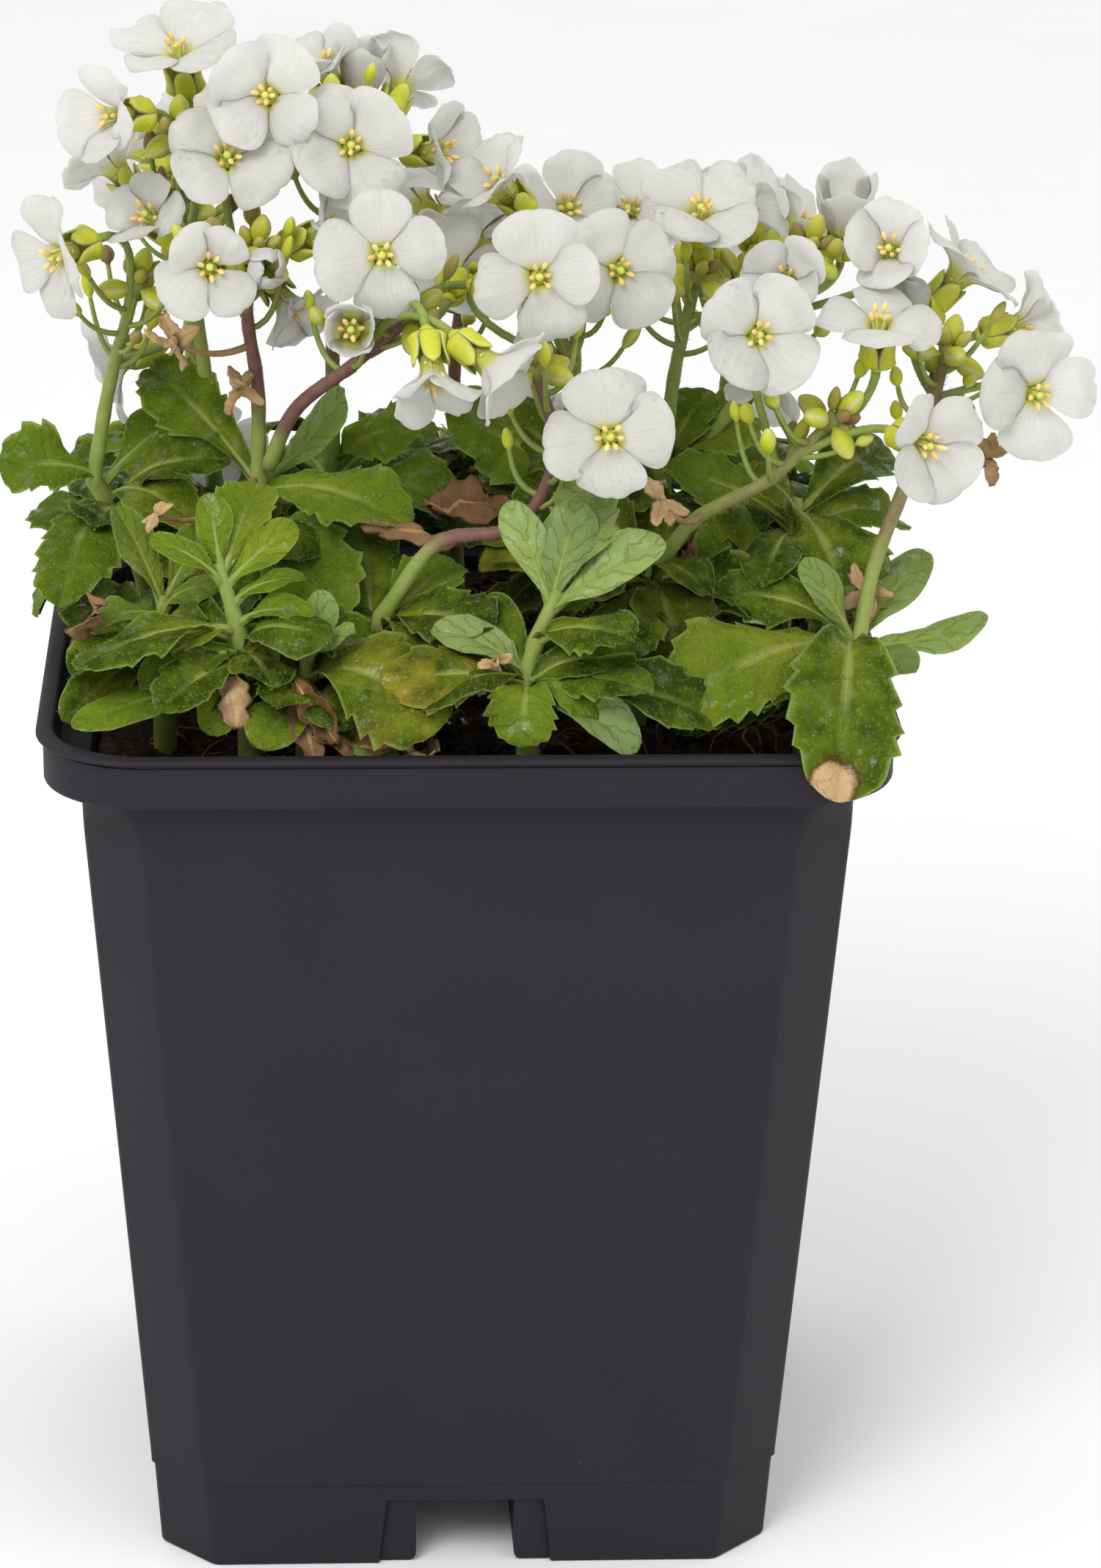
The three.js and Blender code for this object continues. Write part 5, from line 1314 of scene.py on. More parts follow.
@dataclass(frozen=True)
class Calyx:
    """Four upright sepals round the claws, two of them pouched at the foot; sizes in millimetres."""

    foot: float = -4.8
    tip: float = -0.7
    radius: float = 1.62
    pouch: float = 0.3
    half_angle: float = 50.0

    def build(self, draft: Draft, frame: BloomFrame, draw: Draw, skin: int = 0, dark: float = 0.0) -> None:
        """Add the sepals and the swollen end of the stalk.

        A sepal's radius swells quickly above the foot and its half angle narrows to a blunt tip, which leans
        out a little.

        Args:
            draft: Piece that they go into.
            frame: Where the bloom sits.
            draw: Seeded draw of this bloom.
            skin: Number of the sepals' material.
            dark: Tone of the sepals.
        """
        rows, columns = 10, 9
        s = np.linspace(0, 1, rows)[:, None]
        w = np.linspace(-1, 1, columns)[None, :]
        for number in range(4):
            angle = np.pi / 4 + number * np.pi / 2
            tall = (self.tip - self.foot) * draw.uniform(0.95, 1.08)
            swell = np.interp(s, [0, 0.06, 0.2, 0.55, 0.85, 1], [0.3, 0.62, 0.97, 1.0, 1.02, 1.08])
            pouch = self.pouch * (number % 2) * np.exp(-(((s - 0.18) / 0.16) ** 2)) * (1 - w**2)
            narrow = np.interp(s, [0, 0.5, 0.8, 0.93, 1], [1.0, 0.95, 0.72, 0.42, 0.12])
            spread = math.radians(self.half_angle) * narrow * w
            radius = self.radius * swell + pouch + 0.1 * (number % 2) + 0.14 * (1 - w**2)
            height = self.foot + 0.15 + tall * s - 0.25 * w**2 * s
            outer = frame.point(radius + 0.09, angle + spread, height)
            inner = frame.point(radius - 0.09, angle + spread, height)
            draft.sheet(inner, outer, (dark + draw.uniform(0, 0.12), 0.0, draw.uniform()), skin)
        t = np.array([-0.5, -0.15, 0.12, 0.45])
        path = frame.point(0.0, np.zeros(4), self.foot + t)
        draft.tube(path, np.array([0.42, 0.6, 0.85, 0.7]), 8, (dark, 0, 0), skin)


@dataclass(frozen=True)
class BudCluster:
    """Unopened buds at a stem's end: one out from each side of a core, one on top, small ones between."""

    core_foot: float = 0.65
    core_top: float = 1.15
    outer: float = 4.4
    top: float = 3.7
    radius: float = 1.18

    def bud(self, draft: Draft, start: Array, aim: Array, length: float, radius: float, dark: float) -> None:
        """Add one bud: a drop with four shallow furrows between its sepals.

        Args:
            draft: Piece that it goes into.
            start: Where it leaves the stem.
            aim: Direction it points in.
            length: Length in millimetres.
            radius: Largest radius in millimetres.
            dark: Tone, from yellow-green 0 to brown-purple 1.
        """
        t = np.array([-0.12, 0.02, 0.12, 0.22, 0.34, 0.48, 0.62, 0.76, 0.88, 0.96, 1.0])
        profile = np.array([0.26, 0.26, 0.34, 0.68, 0.9, 1.0, 0.97, 0.82, 0.58, 0.34, 0.12])
        angle = np.linspace(0, 2 * np.pi, 12, endpoint=False)
        furrow = 1 - 0.1 * np.exp(-((np.abs(np.sin(2 * angle)) / 0.35) ** 2))
        tone = np.zeros((len(t), 3))
        tone[:, 0] = np.clip(dark + 0.3 * ease(t, 0.2, -0.1), 0, 1)
        draft.tube(start + aim * (t * length)[:, None], radius * profile[:, None] * furrow, 12, tone, 1)

    def build(self, draft: Draft, curve: Curve, count: int, draw: Draw) -> None:
        """Add the cluster.

        Args:
            draft: Piece that it goes into; its material 1 is the buds'.
            curve: The stem.
            count: Number of outer buds.
            draw: Seeded draw of this cluster.
        """
        tip, axis = curve.at(1.0), curve.along(1.0)
        across = unit(np.cross(np.array([1.0, 0.0, 0.0]) if abs(axis[2]) > 0.9 else UPWARDS, axis))
        around = np.cross(axis, across)
        angle = np.arange(count) / count * 2 * np.pi
        ring = across * np.cos(angle)[:, None] + around * np.sin(angle)[:, None]
        low, high = tip - 0.9 * axis + self.core_foot * ring, tip + 1.1 * axis + self.core_top * ring
        after = np.roll(np.arange(count), -1)
        aims = unit(np.cross(low[after] - low, high[after] - low))
        middles = (low + low[after] + high + high[after]) / 4
        path = tip + axis * np.array([-0.9, 0.1, 1.1])[:, None]
        draft.tube(path, np.array([self.core_foot, 0.9, self.core_top]), 8, (0.35, 0, 0), 0)
        for middle, aim in zip(middles, aims):
            long = self.outer * draw.uniform(0.94, 1.0)
            self.bud(draft, middle, aim, long, self.radius, draw.uniform(0.0, 0.25))
        self.bud(draft, tip + 1.1 * axis, axis, self.top, self.radius * 0.95, draw.uniform(0.0, 0.3))
        for turn in angle + np.pi / count * 2:
            out = across * math.cos(turn) + around * math.sin(turn)
            aim = unit(axis * 0.9 + out * draw.uniform(0.5, 0.9))
            start, long = tip + 0.9 * axis + 0.7 * out, draw.uniform(2.1, 3.0)
            self.bud(draft, start, aim, long, 0.72, draw.uniform(0.3, 0.95))


# Leaves and stems


@dataclass
class Down:
    """Fine pale hairs: thin three-sided spikes that stand on the skin, gathered while the skins are made."""

    radius: float = 0.028
    feet: list[Array] = field(default_factory=list)
    ways: list[Array] = field(default_factory=list)

    def grow(self, points: Array, normals: Array, count: int, length: float, draw: Draw) -> None:
        """Stand hairs on a grid of skin.

        Args:
            points: Grid of points of the skin, rows by columns by 3.
            normals: The direction out of the skin at each.
            count: Number of hairs.
            length: Their length in millimetres.
            draw: Seeded draw.
        """
        rows, columns = points.shape[:2]
        i, j = draw.uniform(0, rows - 1.001, count), draw.uniform(0, columns - 1.001, count)
        a, b = i.astype(int), j.astype(int)
        u, v = (i - a)[:, None], (j - b)[:, None]
        near = points[a, b] * (1 - u) * (1 - v) + points[a + 1, b] * u * (1 - v)
        foot = near + points[a, b + 1] * (1 - u) * v + points[a + 1, b + 1] * u * v
        way = unit(normals[a, b] + draw.normal(0, 0.35, (count, 3)))
        way = way * (length * draw.uniform(0.6, 1.2, (count, 1)))
        self.feet.append(foot - 0.03 * normals[a, b])
        self.ways.append(way)

    def build(self, draft: Draft) -> None:
        """Put all the spikes into a piece.

        Args:
            draft: The piece.
        """
        foot, way = np.vstack(self.feet), np.vstack(self.ways)
        axis = unit(way)
        steep = np.abs(axis[:, 2:]) > 0.9
        right = unit(np.cross(axis, np.where(steep, np.array([[1.0, 0, 0]]), UPWARDS[None])))
        frames = np.stack([right * self.radius, np.cross(axis, right) * self.radius, way], axis=-1)
        shape = np.array([[1.0, 0, 0], [-0.5, 0.87, 0], [-0.5, -0.87, 0], [0, 0, 1.0]])
        faces = np.array([[0, 1, 3], [1, 2, 3], [2, 0, 3], [2, 1, 0]])
        draft.strew(shape, faces, frames, foot, np.zeros((len(foot), 3)))


@dataclass(frozen=True)
class LeafShape:
    """Rock cress leaf: a winged foot, a broad rounded far half, coarse teeth if it is wide, an arched midrib.

    Hairs is their number on each square millimetre and rim_hairs on each millimetre of width.
    """

    foot: float = 0.14
    widest: float = 0.66
    first_tooth: float = 0.4
    tooth: float = 0.17
    broad: float = 7.0
    crown_top: float = 0.93
    lift: float = 0.18
    half_thickness: float = 0.17
    midrib: float = 0.28
    hairs: float = 0.65
    rim_hairs: float = 5.0

    def stations(self, wide: bool, corners: Array) -> Array:
        """Give the shares of the length at which a leaf has rows.

        Args:
            wide: Whether the leaf is a broad one.
            corners: Shares at which a tooth ends.

        Returns:
            Even shares, with one just before and one just after each tooth's point.
        """
        even = np.concatenate([np.linspace(0, 0.9, 17 if wide else 12), np.array([0.94, 0.97, 0.99, 1.0])])
        rows = np.union1d(even, np.concatenate([corners - 0.006, corners + 0.006]) if wide else even)
        return rows[np.concatenate([[True], np.diff(rows) > 0.009])]

    def outline(self, share: Array, corners: Array, wide: bool) -> Array:
        """Give the half width of a leaf along its length.

        Args:
            share: Shares of the length.
            corners: Shares at which the teeth end, rising.
            wide: Whether the leaf has teeth.

        Returns:
            Shares of the largest half width: a smooth rise from the foot to the widest place, then the root
            of 1 - u u to the tip. Each tooth grows out from the last corner and steps back at its own.
        """
        rise = self.foot + (1 - self.foot) * ease(share, 0.06, self.widest)
        u = np.clip((share - self.widest) / (1 - self.widest), 0, 0.998)
        body = rise * np.where(share > self.widest, np.sqrt(1 - u * u), 1.0)
        if not wide:
            return body
        edges = np.concatenate([[self.first_tooth - 0.1], corners, [1.05]])
        number = np.clip(np.searchsorted(edges, share, side="right") - 1, 0, len(edges) - 2)
        within = np.clip((share - edges[number]) / (edges[number + 1] - edges[number]), 0, 1)
        toothed = body * (1 - self.tooth + self.tooth * within**1.4)
        between = (share > edges[0]) & (share < edges[-2] + 0.02)
        return np.where(between, toothed, body * (1 - 0.5 * self.tooth))

    def build(self, draft: Draft, down: Down, crown: Curve, row: Row, tone: tuple[float, float, float],
              draw: Draw) -> None:
        """Add one leaf, its midrib and its hairs.

        Rows run from root to tip along a quadratic curve that rises by the arch, columns from edge to edge.
        The blade turns a little about its midrib along the way. A point stands off the midrib by its share of
        the half width, is raised by the lift times the distance, bowed, waved along the edges, puckered
        between the side veins, and sunk along the midrib.

        Args:
            draft: Piece that it goes into.
            down: Hairs of the plant.
            crown: Curve of the crown that it grows from.
            row: Place on the crown, tip, width, rise of the arch, and the way the face looks.
            tone: Age, yellowing and shift of its colour.
            draw: Seeded draw of this leaf.
        """
        share, x, y, z, width, rise, turn, tilt = row
        root, tip = crown.knot(share * self.crown_top), np.array([x, y, z], dtype=float)
        chord = unit(tip - root)
        face = facing(turn, tilt)
        face = unit(face - chord * np.dot(face, chord))
        midrib = Curve.bend(root, root + (tip - root) * 0.45 + face * 2 * rise, tip)
        wide = width >= self.broad
        teeth = 3 + int(draw.uniform() * 3)
        corners = self.first_tooth + (0.93 - self.first_tooth) * (np.arange(1, teeth + 1) / teeth) ** 0.9
        corners = corners + draw.uniform(-0.015, 0.015, teeth)
        stations = self.stations(wide, corners)
        s, w = stations[:, None], np.linspace(-1, 1, 11 if wide else 9)[None, :]
        middle = midrib.at(stations)
        axis = midrib.along(stations)
        side = unit(np.cross(face, axis))
        normal = np.cross(axis, side)
        twist = draw.uniform(-0.4, 0.4) * s**2
        c, n = np.cos(twist), np.sin(twist)
        side, normal = side * c + normal * n, normal * c - side * n
        skew = 1 + 0.1 * np.sin(s * 7 + draw.uniform(0, 6)) * w
        reach = (self.outline(stations, corners, wide) * width / 2)[:, None] * skew
        away = np.abs(w) * reach
        phase = draw.uniform(0, 2 * np.pi, 3)
        bow = draw.uniform(-0.55, 0.25) * away**2 / (width / 2)
        wave = 0.1 * np.sin(s * 8 + phase[0]) * w**2 + 0.045 * np.sin(s * 15 + phase[1]) * w**3
        wave = wave + 0.02 * np.sin(s * 31 + phase[2]) * w**4
        pucker = 0.026 * np.abs(np.sin(s * 17 - np.abs(w) * 4.0)) * ease(away, 0.1, 0.8)
        ends = np.sin(np.clip(s * 0.96, 0, 1) * np.pi) ** 0.5
        raised = self.lift * away + bow + width * (wave + pucker) * ends - 0.2 * np.exp(-((away / 0.45) ** 2))
        blade = middle[:, None] + side[:, None] * (w * reach)[..., None] + normal[:, None] * raised[..., None]
        thick = self.half_thickness * (1 - 0.7 * w**2 + 0 * s)[..., None]
        rib = (self.midrib * np.exp(-((away / 0.35) ** 2)) * (1 - 0.7 * s))[..., None]
        draft.sheet(blade + normal[:, None] * thick, blade - normal[:, None] * (thick + rib), tone)
        slim = np.interp(stations, [0, 0.3, 1], [0.62, 0.36, 0.1])
        draft.tube(middle - normal * 0.22, slim, 7, (0.1, 0, 0), 1)
        out = np.broadcast_to(normal[:, None], blade.shape)
        area = width * np.linalg.norm(tip - root)
        down.grow(blade + out * 0.16, out, int(area * self.hairs), 0.34, draw)
        for edge, way in ((blade[:, :2], -side), (blade[:, -2:], side)):
            down.grow(edge, np.repeat(way[:, None], 2, axis=1), int(width * self.rim_hairs), 0.4, draw)


@dataclass(frozen=True)
class Undergrowth:
    """Old leaves that stand low round a crown and hide its foot, drawn by rule; the plant colours them
    darkest green, partly for their age and partly as painted shade.
    """

    count: int = 8
    shortest: float = 9.0
    longest: float = 19.0
    narrowest: float = 5.5
    widest: float = 10.0
    room: float = 41.0
    lowest: float = 94.5

    def rows(self, plant: Plant, draw: Draw) -> list[Row]:
        """Draw the leaves of one crown.

        Args:
            plant: The crown.
            draw: Seeded draw.

        Returns:
            Rows like those of the plant's own leaves, turned evenly round the crown, kept inside the pot's
            rim and above the peat.
        """
        crown = Curve.through(plant.path)
        found = []
        first = draw.uniform(0, 2 * np.pi)
        for number in range(self.count):
            share = draw.uniform(0.52, 0.85)
            root = crown.knot(share * LeafShape.crown_top)
            angle = first + number * 2.4 + draw.uniform(-0.4, 0.4)
            long = draw.uniform(self.shortest, self.longest)
            x = float(np.clip(root[0] + long * math.cos(angle), -self.room, self.room))
            y = float(np.clip(root[1] + long * math.sin(angle), -self.room, self.room))
            z = max(root[2] + draw.uniform(-4.0, 4.0), self.lowest)
            width = draw.uniform(self.narrowest, self.widest)
            turn = math.degrees(math.atan2(x - root[0], -(y - root[1])))
            found.append((share, x, y, z, width, draw.uniform(1.5, 3.0), turn * 0.3, draw.uniform(50, 75)))
        return found


@dataclass(frozen=True)
class PlantBuilder:
    """Builds one crown's stems, leaves, hairs and opening blooms, with radii as in the CAD model."""

    plant: Plant
    crown_radius: float = 1.5
    crown_top: float = 1.0
    stem_radius: float = 0.85
    stem_tip: float = 0.6
    stalk_radius: float = 0.46
    side_stalks: int = 9
    stem_hairs: float = 11.0
    stalk_hairs: float = 7.0

    @property
    def node(self) -> str:
        """Name of the CAD node that the pieces stand for."""
        return f"leafy_stem_{self.plant.name}"

    def stalk(self, draft: Draft, down: Down, curve: Curve, frame: BloomFrame, draw: Draw) -> None:
        """Add the stalk that carries a bloom, from the stem to the foot of the calyx.

        It leaves the stem 0.6 of their distance below the stem's end, within 1 mm and 0.7 of its length, and
        bends in to follow the bloom's axis.

        Args:
            draft: Piece that it goes into.
            down: Hairs of the plant.
            curve: The stem.
            frame: Where the bloom sits.
            draw: Seeded draw.
        """
        top = frame.throat + frame.axis * Calyx.foot
        back = min(max(0.6 * float(np.linalg.norm(top - curve.at(1.0))), 1.0), 0.7 * curve.length)
        foot = curve.at(1 - back / curve.length)
        pull = top - frame.axis * 0.45 * np.linalg.norm(top - foot)
        line = Curve.bend(foot, pull, top)
        share = np.linspace(0, 1, 12)
        radii = self.stalk_radius * np.interp(share, [0, 0.12, 0.8, 1], [1.35, 1.0, 0.95, 1.15])
        tone = np.zeros((12, 3))
        tone[:, 0] = np.interp(share, [0, 0.5, 1], [self.plant.purple, 0.12, 0.0])
        draft.tube(line.at(share), radii, 8, tone, 0)
        self.bristle(down, line, self.stalk_radius, self.stalk_hairs, draw)

    def spent(self, draft: Draft, line: Curve, draw: Draw) -> None:
        """Add the small side stalks under a head, each ending in a young bud or a withered one.

        They leave the upper part of the stem at even turns of 137.5 degrees and bend up as they go out.

        Args:
            draft: Piece that they go into.
            line: The stem.
            draw: Seeded draw.
        """
        for number in range(self.side_stalks):
            foot = line.knot(0.58 + 0.4 * number / self.side_stalks)
            angle = math.radians(137.5) * number + draw.uniform(-0.4, 0.4)
            out = np.array([math.cos(angle), math.sin(angle), 0.0])
            tip = foot + out * draw.uniform(3.0, 6.5) + UPWARDS * draw.uniform(2.0, 6.0)
            path = Curve.bend(foot, foot + out * 3.0, tip).at(np.linspace(0, 1, 8))
            draft.tube(path, np.linspace(0.36, 0.27, 8), 6, (0.1, 0.0, 0.0), 0)
            aim = unit(path[-1] - path[-2])
            BudCluster().bud(draft, path[-1] - aim * 0.2, aim, draw.uniform(2.2, 3.6), draw.uniform(0.6, 1.0),
                             draw.uniform(0, 1) ** 3)

    def bristle(self, down: Down, line: Curve, radius: float, density: float, draw: Draw) -> None:
        """Stand hairs all round a stem.

        Args:
            down: Hairs of the plant.
            line: Middle line of the stem.
            radius: Distance of their feet from it.
            density: Their number on each millimetre of its length.
            draw: Seeded draw.
        """
        share = np.linspace(0.03, 0.97, 14)
        path, tangent = line.at(share), line.along(share)
        right = unit(np.cross(tangent, np.array([0.3, 0.9, 0.3])))
        up = np.cross(tangent, right)
        angle = np.linspace(0, 2 * np.pi, 9)
        out = right[:, None] * np.cos(angle)[None, :, None] + up[:, None] * np.sin(angle)[None, :, None]
        down.grow(path[:, None] + out * radius, out, int(density * line.length), 0.42, draw)

    def build(self, seed: int) -> None:
        """Build the pieces of the plant.

        Args:
            seed: Seed of its draws.
        """
        draw = np.random.default_rng(seed)
        crown = Curve.through(self.plant.path)
        greens, down, opened = Draft(), Down(), Draft()
        plant, purple = self.plant, self.plant.purple
        even = np.linspace(0, 1, 22)
        slim = self.stem_radius + (self.stem_tip - self.stem_radius) * even
        share = np.linspace(0, 0.72, 9)
        path, radii = crown.at(share), np.interp(share, [0, 0.72], [self.crown_radius, self.crown_top])
        if plant.stems:
            path = np.vstack([path, Curve.through(plant.stems[0].path).at(even)])
            radii = np.concatenate([radii, slim])
            radii[9:12] = np.linspace(0.96, radii[12], 3)
        else:
            path = np.vstack([path, crown.at(np.linspace(0.8, 1, 4))])
            radii = np.concatenate([radii, np.linspace(0.95, 0.6, 4)])
        tone = np.zeros((len(path), 3))
        tone[:, 0] = purple * ease(np.linspace(0, 1, len(path)), 0.3, 0.65)
        greens.tube(path, radii * (1 + 0.05 * np.sin(np.arange(len(path)) * 1.7)), 11, tone, 0)
        for number, stem in enumerate(plant.stems):
            line = Curve.through(stem.path)
            if number:
                tone = np.zeros((len(even), 3))
                tone[:, 0] = purple * ease(even, 0.0, 0.3)
                greens.tube(line.at(even), slim, 11, tone, 0)
            self.bristle(down, line, self.stem_radius * 0.85, self.stem_hairs, draw)
            if stem.buds:
                BudCluster().build(greens, line, stem.buds, draw)
                self.spent(greens, line, draw)
            for row in stem.blooms + stem.opening:
                frame = BloomFrame.of(row)
                self.stalk(greens, down, line, frame, draw)
                Calyx().build(greens, frame, draw, 1)
            for row in stem.opening:
                RolledBloom().build(opened, BloomFrame.of(row), draw)
        greens.build(f"stems_{plant.name}", (Skin.STEM, Skin.SEPAL), (self.node,), "living_green")
        leaves = Draft()
        for row in plant.leaves:
            fresh = row[4] < 5.5 or (plant.young == 0 and row[0] > 0.9)
            age = plant.young if fresh else draw.uniform(0.25, 0.9)
            yellow = 0.12 if draw.uniform() < 0.3 else 0.0
            LeafShape().build(leaves, down, crown, row, (age, yellow, draw.uniform()), draw)
        for row in Undergrowth().rows(plant, draw):
            yellow = 0.5 if draw.uniform() < 0.12 else 0.0
            # Undergrowth leaves take a tone of 0.8 to 1.0, the darkest green: partly their age, partly
            # painted shade under the canopy.
            tones = (draw.uniform(0.8, 1.0), yellow, draw.uniform())
            LeafShape().build(leaves, down, crown, row, tones, draw)
        leaves.build(f"leaves_{plant.name}", (Skin.LEAF, Skin.STEM), (self.node,), "living_green", SHARP)
        hairs = Draft()
        down.build(hairs)
        hairs.build(f"hairs_{plant.name}", (Skin.HAIR,), (), "living_green")
        if opened.count:
            opened.build(f"opening_blooms_{plant.name}", FLOWER_SKINS, (self.node,), "petal_white", SHARP)
        LOG.info("plant %s: %d leaves, %d stems", plant.name, len(plant.leaves), len(plant.stems))


@dataclass(frozen=True)
class Blooms:
    """The open blooms, one piece for each CAD node, which may hold blooms that touch."""

    plants: tuple[Plant, ...]
    tuft: float = 2.5
    seed: int = 500

    def build(self, nodes: dict[str, bpy.types.Object]) -> None:
        """Build the pieces: a bloom belongs to the node that has a point nearest to its tuft's tip.

        Args:
            nodes: The CAD nodes by name.
        """
        clouds = {}
        for name, node in nodes.items():
            if name.startswith("blooms_"):
                cloud = np.empty(len(node.data.vertices) * 3, dtype=np.float32)
                node.data.vertices.foreach_get("co", cloud)
                clouds[name] = cloud.reshape(-1, 3) / MM
        drafts = {name: Draft() for name in clouds}
        rows = [row for plant in self.plants for stem in plant.stems for row in stem.blooms]
        for number, row in enumerate(rows):
            frame = BloomFrame.of(row)
            tip = frame.throat + frame.axis * self.tuft
            gap = {name: float(np.min(np.linalg.norm(cloud - tip, axis=1))) for name, cloud in clouds.items()}
            home = min(gap, key=gap.get)
            draw = np.random.default_rng(self.seed + number)
            for quarter in range(4):
                Corolla().petal(drafts[home], frame, quarter, draw)
            Corolla().heart(drafts[home], frame, draw)
        for name, draft in drafts.items():
            draft.build(name.replace("blooms_", "petals_"), FLOWER_SKINS, (name,), "petal_white", SHARP)
        LOG.info("blooms: %d in %d pieces", len(rows), len(drafts))


@dataclass(frozen=True)
class SoilBed:
    """Peat that fills the pot to 7 mm below its lip: a bumpy top on a plain block, with litter on it."""

    level: float = 91.5
    half: float = 39.1
    corner: float = 8.6
    foot: float = 9.6
    foot_half: float = 33.0
    foot_corner: float = 9.5
    rings: int = 84
    around: int = 300
    fibres: int = 260
    perlite: int = 46
    crumbs: int = 420
    seed: int = 31

    def square(self, half: Array, corner: Array, angle: Array) -> Array:
        """Give the points of a square with rounded corners.

        Args:
            half: Half width of each ring.
            corner: Radius of its corners.
            angle: Angles at which it is read.

        Returns:
            The point where the angle meets the plain square, drawn in to the arc about the corner's middle.
        """
        c, s = np.cos(angle)[None, :], np.sin(angle)[None, :]
        top = np.maximum(np.abs(c), np.abs(s))
        x, y = c / top * half[:, None], s / top * half[:, None]
        inner = (half - corner)[:, None]
        core = np.stack([np.clip(x, -inner, inner), np.clip(y, -inner, inner)], axis=-1)
        off = np.stack([x, y], axis=-1) - core
        far = np.linalg.norm(off, axis=-1, keepdims=True)
        return core + off / np.maximum(far, 1e-6) * np.minimum(far, corner[:, None, None])

    def height(self, spot: Array) -> Array:
        """Give the height of the top: a low dome, and unevenness of four sizes.

        Args:
            spot: Places on it, x and y along the last axis.

        Returns:
            The heights in millimetres.
        """
        flat = np.concatenate([spot, np.zeros((*spot.shape[:-1], 1))], axis=-1)
        dome = 0.8 * (1 - np.clip(np.max(np.abs(spot), axis=-1) / self.half, 0, 1) ** 2)
        rough = 0.5 * ripple(flat, 15, 1) + 0.45 * ripple(flat, 6, 2) + 0.3 * ripple(flat, 2.6, 3)
        return self.level + dome + rough + 0.18 * ripple(flat, 1.2, 4)

    def bed(self) -> None:
        """Build the peat: rings of points from the foot to the edge of the top and in to its middle."""
        angle = np.linspace(0, 2 * np.pi, self.around, endpoint=False) + 0.004
        share = np.linspace(1, 0.01, self.rings)
        plan = self.square(self.half * share, np.minimum(self.corner, self.half * share * 0.9), angle)
        top = np.concatenate([plan, self.height(plan)[..., None]], axis=-1)
        low = self.square(np.array([self.foot_half]), np.array([self.foot_corner]), angle)
        foot = np.concatenate([low, np.full((1, self.around, 1), self.foot)], axis=-1)
        grid = np.concatenate([foot, top])
        numbers = np.arange(grid.shape[0] * self.around).reshape(-1, self.around)
        wrapped = np.hstack([numbers, numbers[:, :1]])
        last = grid.shape[0] * self.around
        centre = np.array([[0.0, 0.0, float(self.height(np.zeros((1, 2)))[0])], [0.0, 0.0, self.foot]])
        points = np.vstack([grid.reshape(-1, 3), centre])
        caps = np.vstack([
            np.stack([np.full(self.around, last), wrapped[-1, :-1], wrapped[-1, 1:]], axis=1),
            np.stack([np.full(self.around, last + 1), wrapped[0, 1:], wrapped[0, :-1]], axis=1),
        ])
        peat = Draft()
        peat.add(points, [quads(wrapped)[:, ::-1], caps], np.zeros(5))
        peat.build("peat_bed", (Skin.PEAT,), ("soil",), "peat")

    def grains(self, draft: Draft, count: int, size: tuple[float, float], draw: Draw) -> None:
        """Strew rough grains over the top.

        Each is a ball of two rings and two poles, stretched by its own three sizes and turned by chance.

        Args:
            draft: Piece that they go into.
            count: Number of grains.
            size: Smallest and largest radius in millimetres.
            draw: Seeded draw.
        """
        angle = np.arange(5) / 5 * 2 * np.pi
        upper = np.column_stack([0.9 * np.cos(angle), 0.9 * np.sin(angle), np.full(5, 0.45)])
        lower = np.column_stack([0.9 * np.cos(angle + 0.6), 0.9 * np.sin(angle + 0.6), np.full(5, -0.45)])
        shape = np.vstack([upper, lower, [[0, 0, 1.0], [0, 0, -1.0]]])
        after = np.roll(np.arange(5), -1)
        first = np.arange(5)
        faces = np.vstack([
            np.column_stack([np.full(5, 10), first, after]),
            np.column_stack([first, first + 5, after]),
            np.column_stack([after, first + 5, after + 5]),
            np.column_stack([np.full(5, 11), after + 5, first + 5]),
        ])
        spot = draw.uniform(-self.half + 1.2, self.half - 1.2, (count, 2))
        reach = draw.uniform(*size, (count, 1)) * draw.uniform(0.7, 1.2, (count, 3))
        turned = np.linalg.qr(draw.normal(size=(count, 3, 3)))[0]
        turned = turned * np.sign(np.linalg.det(turned))[:, None, None]
        places = np.column_stack([spot, self.height(spot) + 0.25 * reach[:, 0]])
        draft.strew(shape, faces, turned * reach[:, None, :], places, draw.uniform(0, 0.6, (count, 3)))

    def strands(self, draft: Draft, draw: Draw) -> None:
        """Lay bent fibres over the top, each an arc that leaves the peat a little.

        Args:
            draft: Piece that they go into.
            draw: Seeded draw.
        """
        walk = np.linspace(-0.5, 0.5, 8)
        for _ in range(self.fibres):
            spot = draw.uniform(-self.half + 2, self.half - 2, 2)
            turn, long, bend = draw.uniform(0, 2 * np.pi), draw.uniform(2.5, 12), draw.uniform(-1.2, 1.2)
            angle = turn + bend * walk * 2
            step = long / 8 * np.column_stack([np.cos(angle), np.sin(angle)])
            flat = spot + np.cumsum(step, axis=0) - step.sum(axis=0) / 2
            flat = np.clip(flat, -self.half + 1, self.half - 1)
            rise = draw.uniform(0.0, 0.22) * long * (1 - 4 * walk**2)
            path = np.column_stack([flat, self.height(flat) + 0.15 + rise])
            draft.tube(path, draw.uniform(0.07, 0.2) * (1 - 1.2 * walk**2), 4, (draw.uniform(0, 0.6), 0, 0))

    def build(self) -> None:
        """Build the bed, then the crumbs, fibres and perlite on it."""
        self.bed()
        draw = np.random.default_rng(self.seed)
        litter = Draft()
        self.strands(litter, draw)
        litter.build("peat_fibres", (Skin.FIBRE,), (), "peat")
        crumbs = Draft()
        self.grains(crumbs, self.crumbs, (0.35, 1.1), draw)
        crumbs.build("peat_crumbs", (Skin.PEAT,), (), "peat")
        white = Draft()
        self.grains(white, self.perlite, (0.3, 0.85), draw)
        white.build("perlite_grains", (Skin.PERLITE,))
        LOG.info("peat bed: %d fibres, %d crumbs, %d grains", self.fibres, self.crumbs, self.perlite)


